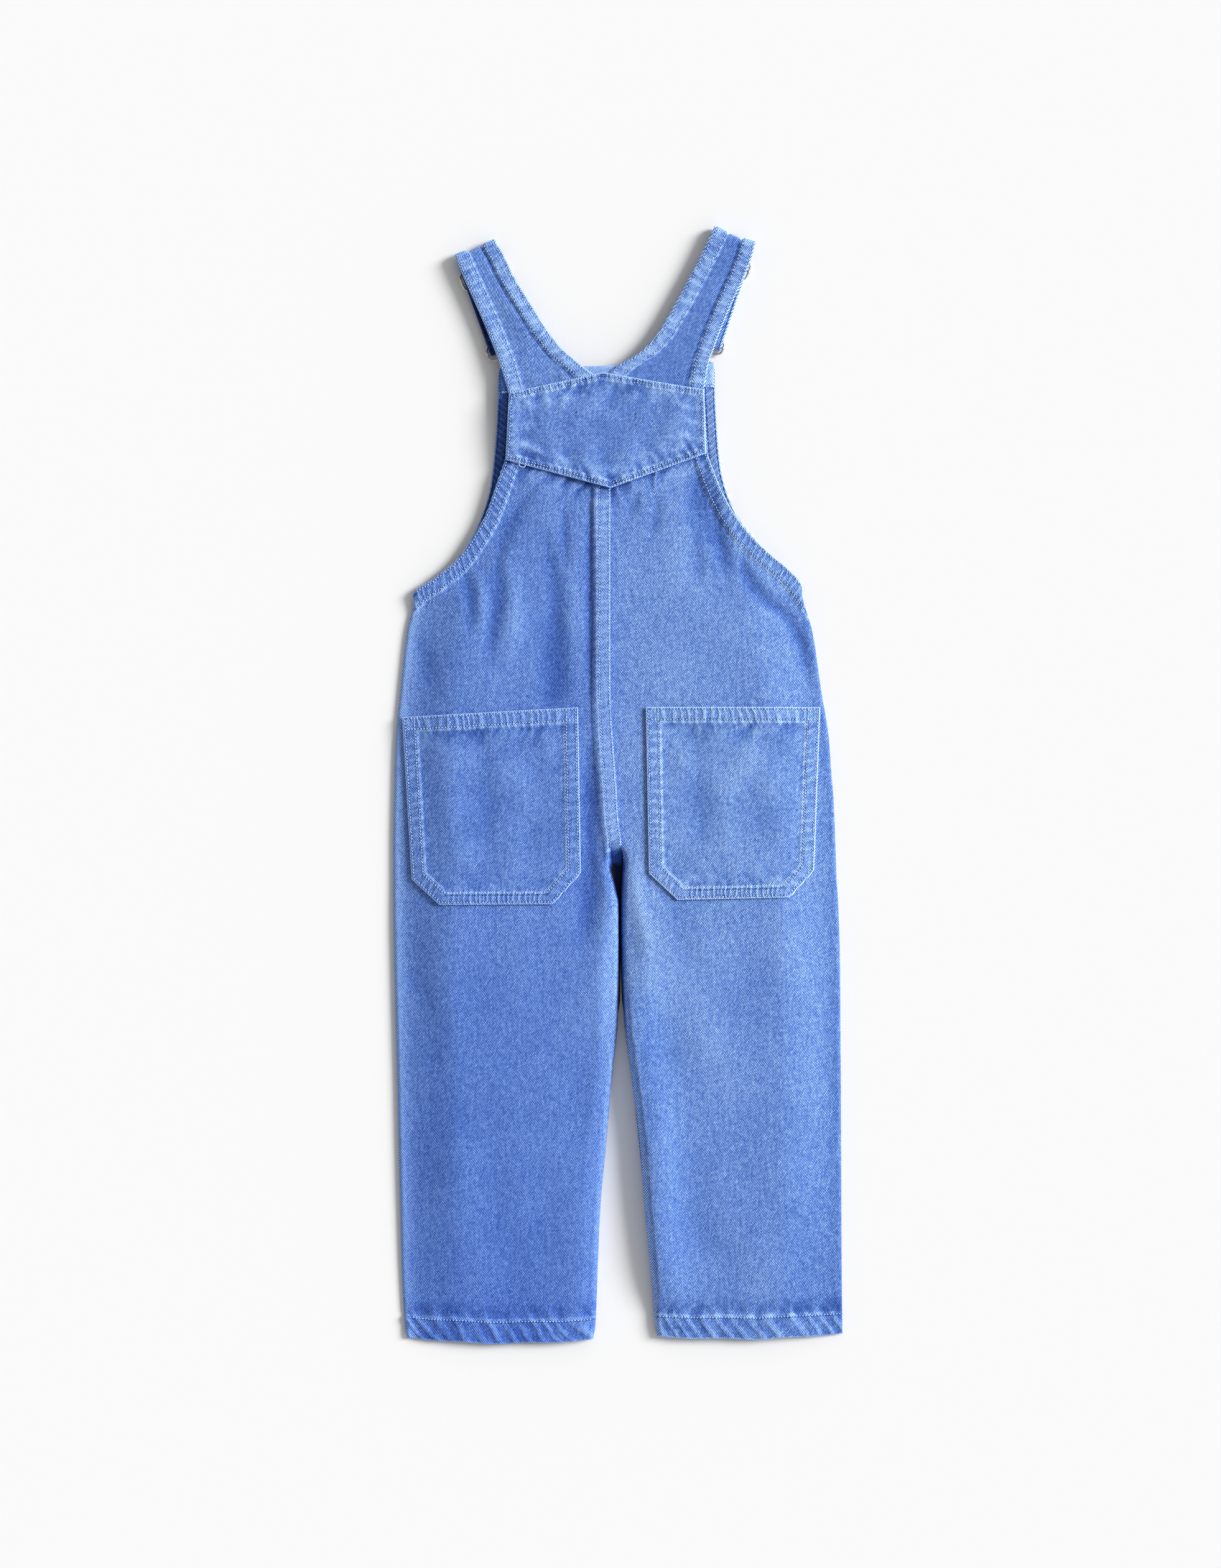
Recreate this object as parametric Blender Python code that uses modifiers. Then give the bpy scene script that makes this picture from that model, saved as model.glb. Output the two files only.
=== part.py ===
"""Kids dungarees lying face down on a flat surface, braces fastened.

Left and right are as seen from above, which is the wearer's left and right from behind.
+X is to the right, +Y towards the shoulders, +Z up from the surface. Sizes are in millimetres.
"""

import bpy
import bmesh
import math
import numpy as np
from mathutils import Euler, Matrix, Vector

MM = 0.001
CLOTH = 1.3            # wall of the denim panels
WEBBING = 1.2          # wall of the braces
GAP = 0.3              # clearance between pieces that touch
LAYER = CLOTH + GAP    # step from one panel's middle to the next
FRONT_Z = CLOTH / 2    # middle of the front, flat on the surface
SEAM_Z = FRONT_Z + LAYER        # middle of the back where it meets the front at a seam
BIB_LIFT = 4.5         # the bib's top rides on its buttons
BIB_LIFT_FROM = 222.0
BIB_LIFT_OVER = 46.0
FELL_WIDTH = 11.0      # centre-back felled seam
ALLOWANCE = 8.0        # right half's allowance under the fell
FACING_DEPTH = 17.5    # turned hem of the bib's top
POCKET_EASE = 0.5      # a pocket stands a little off its back half
YOKE_TOP_Z = 9.9       # middle of the yoke over the braces
YOKE_BOTTOM_Z = 7.6    # middle of the yoke over the back halves
WIRE = 1.4             # diameter of the slider's and the hook's wire
BALL = 2.7             # crimped ball at each end of a cross bar
SLIDER_SIZE = (34.0, 13.0)
HOOK_TOP_WIDTH = 34.0
HOOK_BAR_TO_BUTTON = 27.0
BUTTON_RADIUS = 8.5
LOOP_MID = WIRE / 2 + GAP + WEBBING / 2     # the webbing's middle turns round a bar at this radius
CENTRE = (0.23, 1.73)  # middle of the outline, which the origin is moved to

# Each row of a back half runs straight from the side edge to the inner edge. rise is the height of
# its middle over the seams, edge the share of it kept at the side edge, opened the share lost at
# the inner edge, and the rolls are the widths over which the cloth rounds down.
BACK_COLUMNS = ("side_x", "side_y", "inner_x", "inner_y", "rise", "edge", "opened", "side_roll", "inner_roll")
BACK_LEFT = (
    (-146.5, -384.0, -17.0, -385.0, 2.4, 0.0, 1.0, 7, 7),
    (-147.8, -375.5, -15.5, -375.5, 2.8, 0.0, 1.0, 8, 8),
    (-150.2, -333.0, -13.8, -333.0, 3.2, 0.0, 1.0, 9, 9),
    (-151.2, -293.0, -12.0, -293.0, 3.4, 0.0, 1.0, 9, 9),
    (-152.2, -253.0, -8.3, -253.0, 3.4, 0.0, 1.0, 9, 9),
    (-153.3, -203.0, -4.0, -203.0, 3.4, 0.0, 1.0, 9, 9),
    (-154.4, -163.0, 0.2, -163.0, 3.6, 0.0, 1.0, 9, 9),
    (-155.3, -123.0, 1.0, -123.0, 3.7, 0.0, 1.0, 9, 8),
    (-156.0, -83.0, 0.9, -83.0, 3.8, 0.0, 1.0, 9, 5),
    (-156.0, -63.0, 2.0, -63.0, 3.8, 0.0, 1.0, 9, 9),
    (-156.0, -51.0, 3.2, -51.0, 3.8, 0.0, 0.7, 9, 10),
    (-156.0, -39.0, 2.4, -39.0, 3.8, 0.0, 0.0, 9, 8),
    (-155.8, -25.0, 0.5, -25.0, 3.8, 0.0, 0.0, 9, 8),
    (-155.3, -3.0, -0.8, -3.0, 3.8, 0.0, 0.0, 9, 8),
    (-154.5, 27.0, -3.0, 27.0, 3.7, 0.0, 0.0, 9, 8),
    (-151.0, 67.0, -5.0, 62.0, 3.6, 0.0, 0.0, 9, 8),
    (-146.5, 107.0, -5.2, 96.0, 3.6, 0.0, 0.0, 9, 8),
    (-142.3, 126.0, -5.2, 112.0, 3.6, 0.05, 0.0, 9, 8),
    (-142.0, 133.0, -5.2, 122.0, 3.6, 0.1, 0.0, 9, 8),
    (-127.0, 144.5, -5.2, 136.0, 3.6, 0.2, 0.0, 10, 8),
    (-112.0, 157.0, -5.2, 150.0, 3.6, 0.3, 0.0, 10, 8),
    (-101.0, 172.0, -5.2, 165.0, 3.6, 0.4, 0.0, 10, 8),
    (-92.0, 188.0, -5.2, 181.0, 3.6, 0.5, 0.0, 10, 8),
    (-85.0, 207.0, -5.1, 197.0, 3.6, 0.7, 0.0, 10, 8),
    (-77.5, 229.0, -5.0, 214.5, 3.6, 1.0, 0.0, 10, 8),
)
BACK_RIGHT = (
    (156.5, -381.5, 27.5, -383.0, 2.4, 0.0, 1.0, 7, 7),
    (156.3, -374.0, 26.3, -375.5, 2.8, 0.0, 1.0, 8, 8),
    (155.9, -333.0, 22.5, -333.0, 3.2, 0.0, 1.0, 9, 9),
    (155.7, -293.0, 18.8, -293.0, 3.4, 0.0, 1.0, 9, 8),
    (155.5, -253.0, 15.7, -253.0, 3.5, 0.0, 1.0, 9, 8),
    (155.3, -203.0, 9.5, -203.0, 3.6, 0.0, 1.0, 9, 8),
    (155.0, -163.0, 4.4, -163.0, 3.7, 0.0, 1.0, 9, 8),
    (154.7, -123.0, 2.6, -123.0, 3.8, 0.0, 1.0, 9, 7),
    (153.5, -83.0, 2.2, -83.0, 3.8, 0.0, 1.0, 9, 5),
    (152.3, -63.0, 2.9, -63.0, 3.8, 0.0, 1.0, 9, 5),
    (151.9, -51.0, 4.3, -51.0, 3.8, 0.0, 0.7, 9, 5),
    (151.4, -39.0, 4.2, -39.0, 3.8, 0.0, 0.1, 9, 5),
    (151.0, -27.0, 3.4, -27.0, 3.8, 0.0, 0.0, 9, 8),
    (150.4, -12.0, -0.2 - ALLOWANCE, -12.0, 3.8, 0.0, 0.0, 9, 8),
    (148.9, 7.0, -1.3 - ALLOWANCE, 7.0, 3.8, 0.0, 0.0, 9, 8),
    (146.8, 34.0, -3.6 - ALLOWANCE, 34.0, 3.7, 0.0, 0.0, 9, 8),
    (141.5, 67.0, -5.0 - ALLOWANCE, 62.0, 3.6, 0.0, 0.0, 9, 8),
    (135.5, 107.0, -5.2 - ALLOWANCE, 96.0, 3.6, 0.0, 0.0, 9, 8),
    (128.6, 131.0, -5.2 - ALLOWANCE, 112.0, 3.6, 0.05, 0.0, 9, 8),
    (127.6, 139.5, -5.2 - ALLOWANCE, 122.0, 3.6, 0.1, 0.0, 9, 8),
    (118.0, 151.0, -5.2 - ALLOWANCE, 136.0, 3.6, 0.2, 0.0, 10, 8),
    (107.0, 160.0, -5.2 - ALLOWANCE, 150.0, 3.6, 0.3, 0.0, 10, 8),
    (93.5, 173.0, -5.2 - ALLOWANCE, 165.0, 3.6, 0.4, 0.0, 10, 8),
    (83.0, 186.0, -5.2 - ALLOWANCE, 181.0, 3.6, 0.5, 0.0, 10, 8),
    (73.5, 202.0, -5.1 - ALLOWANCE, 197.0, 3.6, 0.7, 0.0, 10, 8),
    (61.5, 232.0, -5.0 - ALLOWANCE, 214.5, 3.6, 1.0, 0.0, 10, 8),
)

# Largest creases of the back: a soft ridge or trough from one end to the other.
CREASE_COLUMNS = ("x0", "y0", "x1", "y1", "half_width", "height")
CREASES_LEFT = (
    (-105.0, 152.0, -104.0, 112.0, 7.0, -1.2),
    (-68.0, 152.0, -97.0, 82.0, 9.0, -1.3),
    (-52.0, 147.0, -50.0, 57.0, 8.0, -1.0),
    (-30.0, 150.0, -30.0, 70.0, 9.0, 0.9),
    (-22.0, -55.0, -32.0, -125.0, 9.0, -1.3),
)
CREASES_RIGHT = (
    (73.0, 177.0, 75.0, 147.0, 7.0, -1.1),
    (93.0, 157.0, 119.0, 117.0, 8.0, -1.5),
    (16.0, -55.0, 33.0, -138.0, 9.0, 1.2),
    (33.0, -138.0, 85.0, -193.0, 10.0, 0.9),
)

# Rows of a front half: leg and body as the back, then its own armhole and the bib.
FRONT_COLUMNS = ("side_x", "side_y", "inner_x", "inner_y")
FRONT_LEFT = (
    (-146.0, -383.0, -17.5, -384.0),
    (-147.3, -375.5, -16.0, -375.5),
    (-150.7, -293.0, -12.5, -293.0),
    (-152.8, -203.0, -4.5, -203.0),
    (-154.5, -143.0, 0.5, -143.0),
    (-155.5, -83.0, 0.9, -83.0),
    (-155.5, -43.0, -1.0, -43.0),
    (-154.8, -3.0, -3.0, -3.0),
    (-154.0, 27.0, -5.0, 27.0),
    (-150.5, 67.0, -5.2, 67.0),
    (-146.0, 107.0, -5.2, 107.0),
    (-142.0, 126.0, -5.2, 124.0),
    (-141.5, 133.0, -5.2, 134.0),
    (-126.0, 145.0, -5.2, 148.0),
    (-111.5, 158.0, -5.2, 162.0),
    (-101.0, 173.0, -5.2, 176.0),
    (-93.5, 190.0, -5.2, 192.0),
    (-88.5, 207.0, -5.2, 207.0),
    (-86.0, 227.0, -5.2, 227.0),
    (-84.3, 249.0, -5.2, 249.0),
    (-83.3, 272.0, -5.2, 272.0),
    (-82.8, 287.0, -5.2, 288.0),
    (-81.5, 290.0, -5.2, 291.3),
)
FRONT_RIGHT = (
    (156.0, -380.5, 28.0, -382.0),
    (155.8, -374.0, 26.8, -374.5),
    (155.3, -293.0, 19.3, -293.0),
    (154.9, -203.0, 10.0, -203.0),
    (154.5, -143.0, 3.6, -143.0),
    (153.0, -83.0, 2.2, -83.0),
    (151.0, -43.0, -0.2, -43.0),
    (148.5, -3.0, -2.2, -3.0),
    (146.6, 34.0, -4.2, 30.0),
    (141.0, 67.0, -4.6, 67.0),
    (135.0, 107.0, -4.6, 107.0),
    (128.1, 131.0, -4.6, 124.0),
    (127.0, 139.5, -4.6, 134.0),
    (118.0, 150.5, -4.6, 148.0),
    (106.0, 160.5, -4.6, 162.0),
    (93.5, 174.0, -4.6, 176.0),
    (83.0, 188.0, -4.6, 192.0),
    (75.5, 205.0, -4.6, 207.0),
    (71.5, 222.0, -4.6, 227.0),
    (69.0, 249.0, -4.6, 249.0),
    (67.8, 272.0, -4.6, 272.0),
    (67.6, 291.0, -4.6, 288.0),
    (65.0, 294.6, -4.6, 291.3),
)

# Patch pockets, from the bottom up, and the yoke, from left to right. Their edges are straight.
EDGE_COLUMNS = ("a_x", "a_y", "b_x", "b_y")
POCKET_LEFT = (
    (-123.8, -83.0, -45.0, -82.5),
    (-143.3, -65.3, -25.5, -61.0),
    (-150.0, 47.5, -27.5, 54.3),
)
POCKET_RIGHT = (
    (41.3, -79.5, 119.3, -77.8),
    (21.5, -61.0, 136.5, -59.3),
    (19.3, 54.5, 140.8, 54.5),
)
YOKE = (
    (-78.0, 226.0, -75.5, 272.3),
    (-5.0, 206.3, -10.3, 286.5),
    (61.5, 230.5, 60.0, 274.5),
)

# Braces from under the yoke to the shoulder fold: outer edge, inner edge, height of the middle.
STRAP_COLUMNS = ("outer_x", "outer_y", "inner_x", "inner_y", "z")
STRAP_LEFT = (
    (-71.5, 261.0, -13.0, 282.0, 8.3),
    (-75.5, 272.5, -26.0, 292.0, 8.3),
    (-81.0, 291.0, -39.8, 304.0, 8.2),
    (-85.0, 302.0, -49.5, 316.5, 7.7),
    (-93.0, 322.0, -61.0, 335.0, 7.0),
    (-101.0, 340.0, -71.8, 352.5, 6.8),
    (-109.0, 358.0, -80.5, 370.5, 6.8),
)
STRAP_RIGHT = (
    (57.0, 264.0, -8.5, 281.5, 8.3),
    (59.5, 274.5, -2.0, 289.5, 8.3),
    (63.0, 294.0, 14.5, 299.5, 8.2),
    (66.0, 302.0, 26.5, 311.5, 7.9),
    (69.5, 312.0, 33.5, 322.5, 7.4),
    (79.0, 335.0, 47.5, 348.0, 6.9),
    (87.0, 352.0, 56.5, 365.0, 6.8),
    (92.7, 367.0, 63.8, 380.0, 6.8),
)
# Shoulder fold, and the brace's front run below it: the two outer ends and the width.
FOLD_COLUMNS = ("outer_x", "outer_y", "inner_x", "inner_y")
FOLD_LEFT = (-113.0, 368.5, -85.5, 379.5)
FOLD_RIGHT = (95.8, 377.5, 67.5, 388.5)
BAR_COLUMNS = ("outer_x", "outer_y", "slider_run")
BAR_LEFT = (-88.7, 300.8, 15.5)
BAR_RIGHT = (71.6, 304.8, 17.0)

DENIM = (0.125, 0.235, 0.545, 1.0)
METAL = (0.62, 0.60, 0.57, 1.0)


def named(columns, rows):
    """The table's columns by name."""
    return {name: np.array([row[i] for row in rows], float) for i, name in enumerate(columns)}


def eased(knots, values, at):
    """Smooth curve through the values that never passes beyond two neighbours."""
    step = np.diff(knots)
    slope = np.diff(values) / step
    lean = np.zeros(len(values))
    lean[0], lean[-1] = slope[0], slope[-1]
    both = slope[:-1] * slope[1:]
    total = slope[:-1] + slope[1:]
    lean[1:-1] = np.where(both > 0, 2 * both / np.where(total == 0, 1, total), 0)
    i = np.clip(np.searchsorted(knots, at, side="right") - 1, 0, len(step) - 1)
    t = (at - knots[i]) / step[i]
    start = (1 + 2 * t) * (1 - t) ** 2 * values[i] + t * (1 - t) ** 2 * step[i] * lean[i]
    end = t * t * (3 - 2 * t) * values[i + 1] + t * t * (t - 1) * step[i] * lean[i + 1]
    return start + end


def smooth(t):
    t = np.clip(t, 0, 1)
    return t * t * (3 - 2 * t)


def rounded(t):
    return np.sin(0.5 * math.pi * np.clip(t, 0, 1))


def rows_between(table, ends, spacing):
    """The table at evenly spaced rows, straight between its own rows or eased."""
    ax, ay, bx, by = (table[name] for name in ends)
    run = np.hypot(np.diff(ax + bx), np.diff(ay + by)) / 2
    knots = np.concatenate([[0], np.cumsum(run)])
    count = max(2, int(round(knots[-1] / spacing)) + 1)
    at = np.linspace(0, knots[-1], count)
    return {name: eased(knots, column, at) for name, column in table.items()}


def across(rows, ends, shares):
    """Grid points: each row runs straight between its two ends."""
    ax, ay, bx, by = (rows[name][:, None] for name in ends)
    u = np.asarray(shares, float)[None, :]
    return ax + (bx - ax) * u, ay + (by - ay) * u


def crease(x, y, table):
    """Height added by the creases at each point."""
    z = np.zeros_like(x)
    for x0, y0, x1, y1, half_width, height in table:
        dx, dy = x1 - x0, y1 - y0
        t = np.clip(((x - x0) * dx + (y - y0) * dy) / (dx * dx + dy * dy), 0, 1)
        away = np.hypot(x - x0 - t * dx, y - y0 - t * dy)
        z += height * np.exp(-((away / half_width) ** 2)) * (0.35 + 0.65 * np.sin(math.pi * t))
    return z


BACK_ENDS = ("side_x", "side_y", "inner_x", "inner_y")


def back_height(row, width, u, x, y, side):
    """Middle of the back's wall above the surface it lies on."""
    from_side, from_inner = u * width, (1 - u) * width
    edge, opened = row["edge"], row["opened"]
    share = edge + (1 - edge) * rounded(from_side / row["side_roll"])
    share = share * (1 - opened * (1 - rounded(from_inner / row["inner_roll"])))
    fade = smooth(from_side / 14) * smooth(from_inner / 12)
    table = CREASES_LEFT if side == "left" else CREASES_RIGHT
    z = SEAM_Z + row["rise"] * share + crease(x, y, table) * fade
    if side == "left":
        fell = 1 - smooth((from_inner - FELL_WIDTH) / 4)
        z = z + LAYER * fell * (1 - smooth(row["opened"] / 0.4))
    return z


def back_grid(table, side, spacing, shares):
    rows = rows_between(named(BACK_COLUMNS, table), BACK_ENDS, spacing)
    x, y = across(rows, BACK_ENDS, shares)
    row = {name: column[:, None] for name, column in rows.items()}
    width = np.hypot(row["inner_x"] - row["side_x"], row["inner_y"] - row["side_y"])
    z = back_height(row, width, np.asarray(shares)[None, :], x, y, side)
    return np.stack([x, y, z], -1)


def front_height(y):
    return FRONT_Z + BIB_LIFT * smooth((y - BIB_LIFT_FROM) / BIB_LIFT_OVER)


def height_on(table, side, x, y):
    """Height of the back's middle at any point over it, by its own rows."""
    fine = rows_between(named(BACK_COLUMNS, table), BACK_ENDS, 2.0)
    z = np.zeros_like(x)
    for i in np.ndindex(x.shape):
        middle = fine["side_y"] + (fine["inner_y"] - fine["side_y"]) * np.clip(
            (x[i] - fine["side_x"]) / (fine["inner_x"] - fine["side_x"]), 0, 1)
        k = int(np.argmin(np.abs(middle - y[i])))
        row = {name: column[k] for name, column in fine.items()}
        width = math.hypot(row["inner_x"] - row["side_x"], row["inner_y"] - row["side_y"])
        u = min(max((x[i] - row["side_x"]) / (row["inner_x"] - row["side_x"]), 0), 1)
        z[i] = back_height(row, width, u, x[i], y[i], side)
    return z


def material(name, colour, roughness, metallic):
    made = bpy.data.materials.new(name)
    made.use_nodes = True
    shader = made.node_tree.nodes["Principled BSDF"]
    shader.inputs["Base Color"].default_value = colour
    shader.inputs["Roughness"].default_value = roughness
    shader.inputs["Metallic"].default_value = metallic
    return made


def place(name, mesh, colour, roughness, metallic=0.0):
    piece = bpy.data.objects.new(name, mesh)
    home.objects.link(piece)
    piece.parent = lay
    mesh.materials.clear()
    mesh.materials.append(material(name, colour, roughness, metallic))
    return piece


def cloth(name, grid, wall, face_up=True):
    """A cloth piece: the grid is the middle of its wall."""
    count, across_count = grid.shape[:2]
    bm = bmesh.new()
    verts = [[bm.verts.new(Vector(point) * MM) for point in line] for line in grid]
    for r in range(count - 1):
        for c in range(across_count - 1):
            bm.faces.new((verts[r][c], verts[r][c + 1], verts[r + 1][c + 1], verts[r + 1][c]))
    bm.normal_update()
    first = next(iter(bm.faces))
    if face_up and first.normal.z < 0:
        bmesh.ops.reverse_faces(bm, faces=bm.faces[:])
    mesh = bpy.data.meshes.new(name)
    bm.to_mesh(mesh)
    bm.free()
    mesh.shade_smooth()
    piece = place(name, mesh, DENIM, 0.85)
    shell = piece.modifiers.new("wall", "SOLIDIFY")
    shell.thickness = wall * MM
    shell.offset = 0.0
    return piece


def shares_for(width, edge_steps, middle_count):
    """Column places across a panel: close together near both edges."""
    low = [step / width for step in edge_steps]
    high = [1 - step for step in reversed(low)]
    middle = list(np.linspace(low[-1], high[0], middle_count + 2)[1:-1])
    return low + middle + high


def strap_grid(back_table, fold, bar, shares):
    """The brace's middle: its back, the shoulder fold, the front run down to the hook's bar, round
    it and back up to the slider's bar, and round that."""
    rows = rows_between(named(STRAP_COLUMNS, back_table), STRAP_COLUMNS[:4], 11.0)
    path = [(np.array([rows["outer_x"][i], rows["outer_y"][i]]),
             np.array([rows["inner_x"][i], rows["inner_y"][i]]), rows["z"][i])
            for i in range(len(rows["z"]))]
    outer_tip, inner_tip = np.array(fold[:2]), np.array(fold[2:])
    end = np.array(bar[:2])
    wide = np.linalg.norm(inner_tip - outer_tip)
    top_z, low_z = path[-1][2], WEBBING / 2
    turn = (top_z - low_z) / 2
    down = end - outer_tip
    down /= np.linalg.norm(down)
    side = np.array([-down[1], down[0]])
    if np.dot(side, inner_tip - outer_tip) < 0:
        side = -side
    outer_start = outer_tip + down * (turn + WEBBING / 2)
    inner_start = inner_tip + down * (turn + WEBBING / 2)
    length = float(np.dot(end - outer_start, down))
    inner_end = end + side * wide

    def at(run, z):
        t = min(max(run / length, 0), 1)
        extra = (run - t * length) * down
        outer = outer_start + (end - outer_start) * t + extra
        inner = inner_start + (inner_end - inner_start) * t + extra
        return outer, inner, z

    for i in range(1, 6):
        angle = math.pi / 2 - math.pi * i / 6
        path.append(at(-turn * math.cos(angle), (top_z + low_z) / 2 + turn * math.sin(angle)))
    slider = bar[2]
    half = SLIDER_SIZE[1] / 2
    over = WIRE + 2 * GAP + WEBBING / 2
    for run, z in ((0.5, low_z), (slider - half - 3, low_z + 0.7), (slider - half, over + 0.3),
                   (slider - half + 3, low_z + 0.7), (slider - 2, low_z), (slider + 2, low_z),
                   (slider + half - 3, low_z + 0.7), (slider + half, over + 0.3),
                   (slider + half + 3, low_z + 0.7), (slider + half + 6, low_z),
                   (length - 12, low_z), (length, low_z)):
        path.append(at(run, z))
    bar_z = low_z + LOOP_MID
    for i in range(1, 6):
        angle = -math.pi / 2 + math.pi * i / 6
        path.append(at(length + LOOP_MID * math.cos(angle), bar_z + LOOP_MID * math.sin(angle)))
    high_z = low_z + 2 * LOOP_MID
    above = low_z + WEBBING + GAP
    for run, z in ((length, high_z), (length - 8, high_z), (length - 16, above + 0.9),
                   (slider + half + 5, above + 2.2), (slider + half, above + 3.2),
                   (slider + 3, above + 2 * LOOP_MID), (slider, above + 2 * LOOP_MID)):
        path.append(at(run, z))
    for i in range(1, 6):
        angle = math.pi / 2 + math.pi * i / 6
        path.append(at(slider + LOOP_MID * math.cos(angle), above + LOOP_MID + LOOP_MID * math.sin(angle)))
    path.append(at(slider, above))
    path.append(at(slider + 2.0, above))
    grid = []
    for outer, inner, z in path:
        grid.append([(*(outer + (inner - outer) * u), z) for u in shares])
    frame = {"slider": at(slider, 0)[:2], "bar": at(length, 0)[:2], "slider_z": above + LOOP_MID,
             "bar_z": bar_z}
    return np.array(grid), frame


def tube(points, diameter, cyclic, sides=1):
    """A wire as a welded mesh: a bevelled curve through the points."""
    curve = bpy.data.curves.new("wire", "CURVE")
    curve.dimensions = "3D"
    curve.bevel_depth = diameter / 2 * MM
    curve.bevel_resolution = sides
    curve.use_fill_caps = not cyclic
    spline = curve.splines.new("POLY")
    spline.points.add(len(points) - 1)
    for item, point in zip(spline.points, points):
        item.co = (*(Vector(point) * MM), 1.0)
    spline.use_cyclic_u = cyclic
    holder = bpy.data.objects.new("wire", curve)
    home.objects.link(holder)
    mesh = bpy.data.meshes.new_from_object(holder.evaluated_get(bpy.context.evaluated_depsgraph_get()))
    bpy.data.objects.remove(holder)
    bm = bmesh.new()
    bm.from_mesh(mesh)
    bmesh.ops.remove_doubles(bm, verts=bm.verts[:], dist=1e-6)
    bmesh.ops.recalc_face_normals(bm, faces=bm.faces[:])
    bm.to_mesh(mesh)
    bm.free()
    return mesh


def joined(name, mesh, others, colour, roughness, metallic):
    """One body from a mesh and the meshes that meet it."""
    piece = place(name, mesh, colour, roughness, metallic)
    for i, other in enumerate(others):
        tool = bpy.data.objects.new(f"{name} tool {i}", other)
        tools.objects.link(tool)
        tool.parent = lay
        tool.hide_render = True
        tool.display_type = "WIRE"
        cut = piece.modifiers.new("union", "BOOLEAN")
        cut.operation = "UNION"
        cut.solver = "EXACT"
        cut.object = tool
    return piece


def ball(centre, diameter):
    mesh = bpy.data.meshes.new("ball")
    bm = bmesh.new()
    tilt = Euler((0.31, 0.47, 0.23)).to_matrix().to_4x4()
    bmesh.ops.create_uvsphere(bm, u_segments=10, v_segments=6, radius=diameter / 2 * MM)
    bmesh.ops.transform(bm, verts=bm.verts[:], matrix=Matrix.Translation(Vector(centre) * MM) @ tilt)
    bm.to_mesh(mesh)
    bm.free()
    return mesh


def arc(cx, cy, radius, start, stop, count):
    angles = np.radians(np.linspace(start, stop, count))
    return [(cx + radius * math.cos(a), cy + radius * math.sin(a)) for a in angles]


def axes(outer, inner):
    """Middle, direction across and direction along the brace at one of its rows."""
    side = (inner - outer) / np.linalg.norm(inner - outer)
    down = np.array([side[1], -side[0]])
    return (outer + inner) / 2, side, down if down[1] < 0 else -down


def placed(points, origin, side, down, heights):
    """Flat (across, along) points set out from an origin along the brace, at the given heights."""
    made = []
    for (a, b), z in zip(points, heights):
        spot = origin + side * a + down * b
        made.append((spot[0], spot[1], z))
    return made


def crossbar(name, frame_mesh, centre, side, half, z):
    """The frame with its straight bar and a ball crimped round the frame at each end."""
    ends = [(*(centre - side * half), z), (*(centre + side * half), z)]
    short = side * (half - 0.45)
    bar = tube([(*(centre - short), z), (*(centre + short), z)], WIRE * 0.93, False)
    return joined(name, frame_mesh, [bar, ball(ends[0], BALL), ball(ends[1], BALL)], METAL, 0.25, 1.0)


def slider(name, strap):
    """Rounded wire frame, arched so that its long sides lie under the brace and its bar over it."""
    centre, side, down = axes(*strap["slider"])
    half_w, half_h = SLIDER_SIZE[0] / 2, SLIDER_SIZE[1] / 2
    corner = 4.0
    outline = []
    for cx, cy, start in ((half_w - corner, half_h - corner, 0), (-half_w + corner, half_h - corner, 90),
                          (-half_w + corner, -half_h + corner, 180), (half_w - corner, -half_h + corner, 270)):
        outline += arc(cx, cy, corner, start, start + 90, 5)
        if start in (90, 270):
            outline.append((math.copysign(half_w, cx), 0.0))
    low = WIRE / 2 + GAP
    heights = [low + (strap["slider_z"] - low) * (1 - smooth(abs(b) / (half_h - 1))) for _, b in outline]
    frame = tube(placed(outline, centre, side, down, heights), WIRE, True)
    return crossbar(name, frame, centre, side, half_w, strap["slider_z"])


def hook(name, strap):
    """Wire frame with shoulders that close into a keyhole loop round the button's stem."""
    centre, side, down = axes(*strap["bar"])
    half = HOOK_TOP_WIDTH / 2
    reach = HOOK_BAR_TO_BUTTON
    right_half = [(0.0, -5.2), (half - 4, -5.2)]
    right_half += arc(half - 4, -1.2, 4.0, -80, 0, 4) + [(half, 2.0)]
    right_half += arc(half - 3.2, 2.2, 3.2, 15, 80, 3)
    right_half += [(half - 8.5, 7.2), (10.6, 11.0), (9.9, 15.0), (8.0, 19.2), (4.1, 22.6)]
    right_half += arc(0, reach, 5.3, -38, 70, 6) + [(0.0, reach + 5.3)]
    left_half = [(-a, b) for a, b in reversed(right_half[1:-1])]
    outline = right_half + left_half
    button_z = BIB_LIFT - GAP - WIRE / 2 - 0.3
    heights = [strap["bar_z"] + (button_z - strap["bar_z"]) * float(smooth(b / 12)) for _, b in outline]
    frame = tube(placed(outline, centre, side, down, heights), WIRE, True)
    return crossbar(name, frame, centre, side, half, strap["bar_z"])


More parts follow.
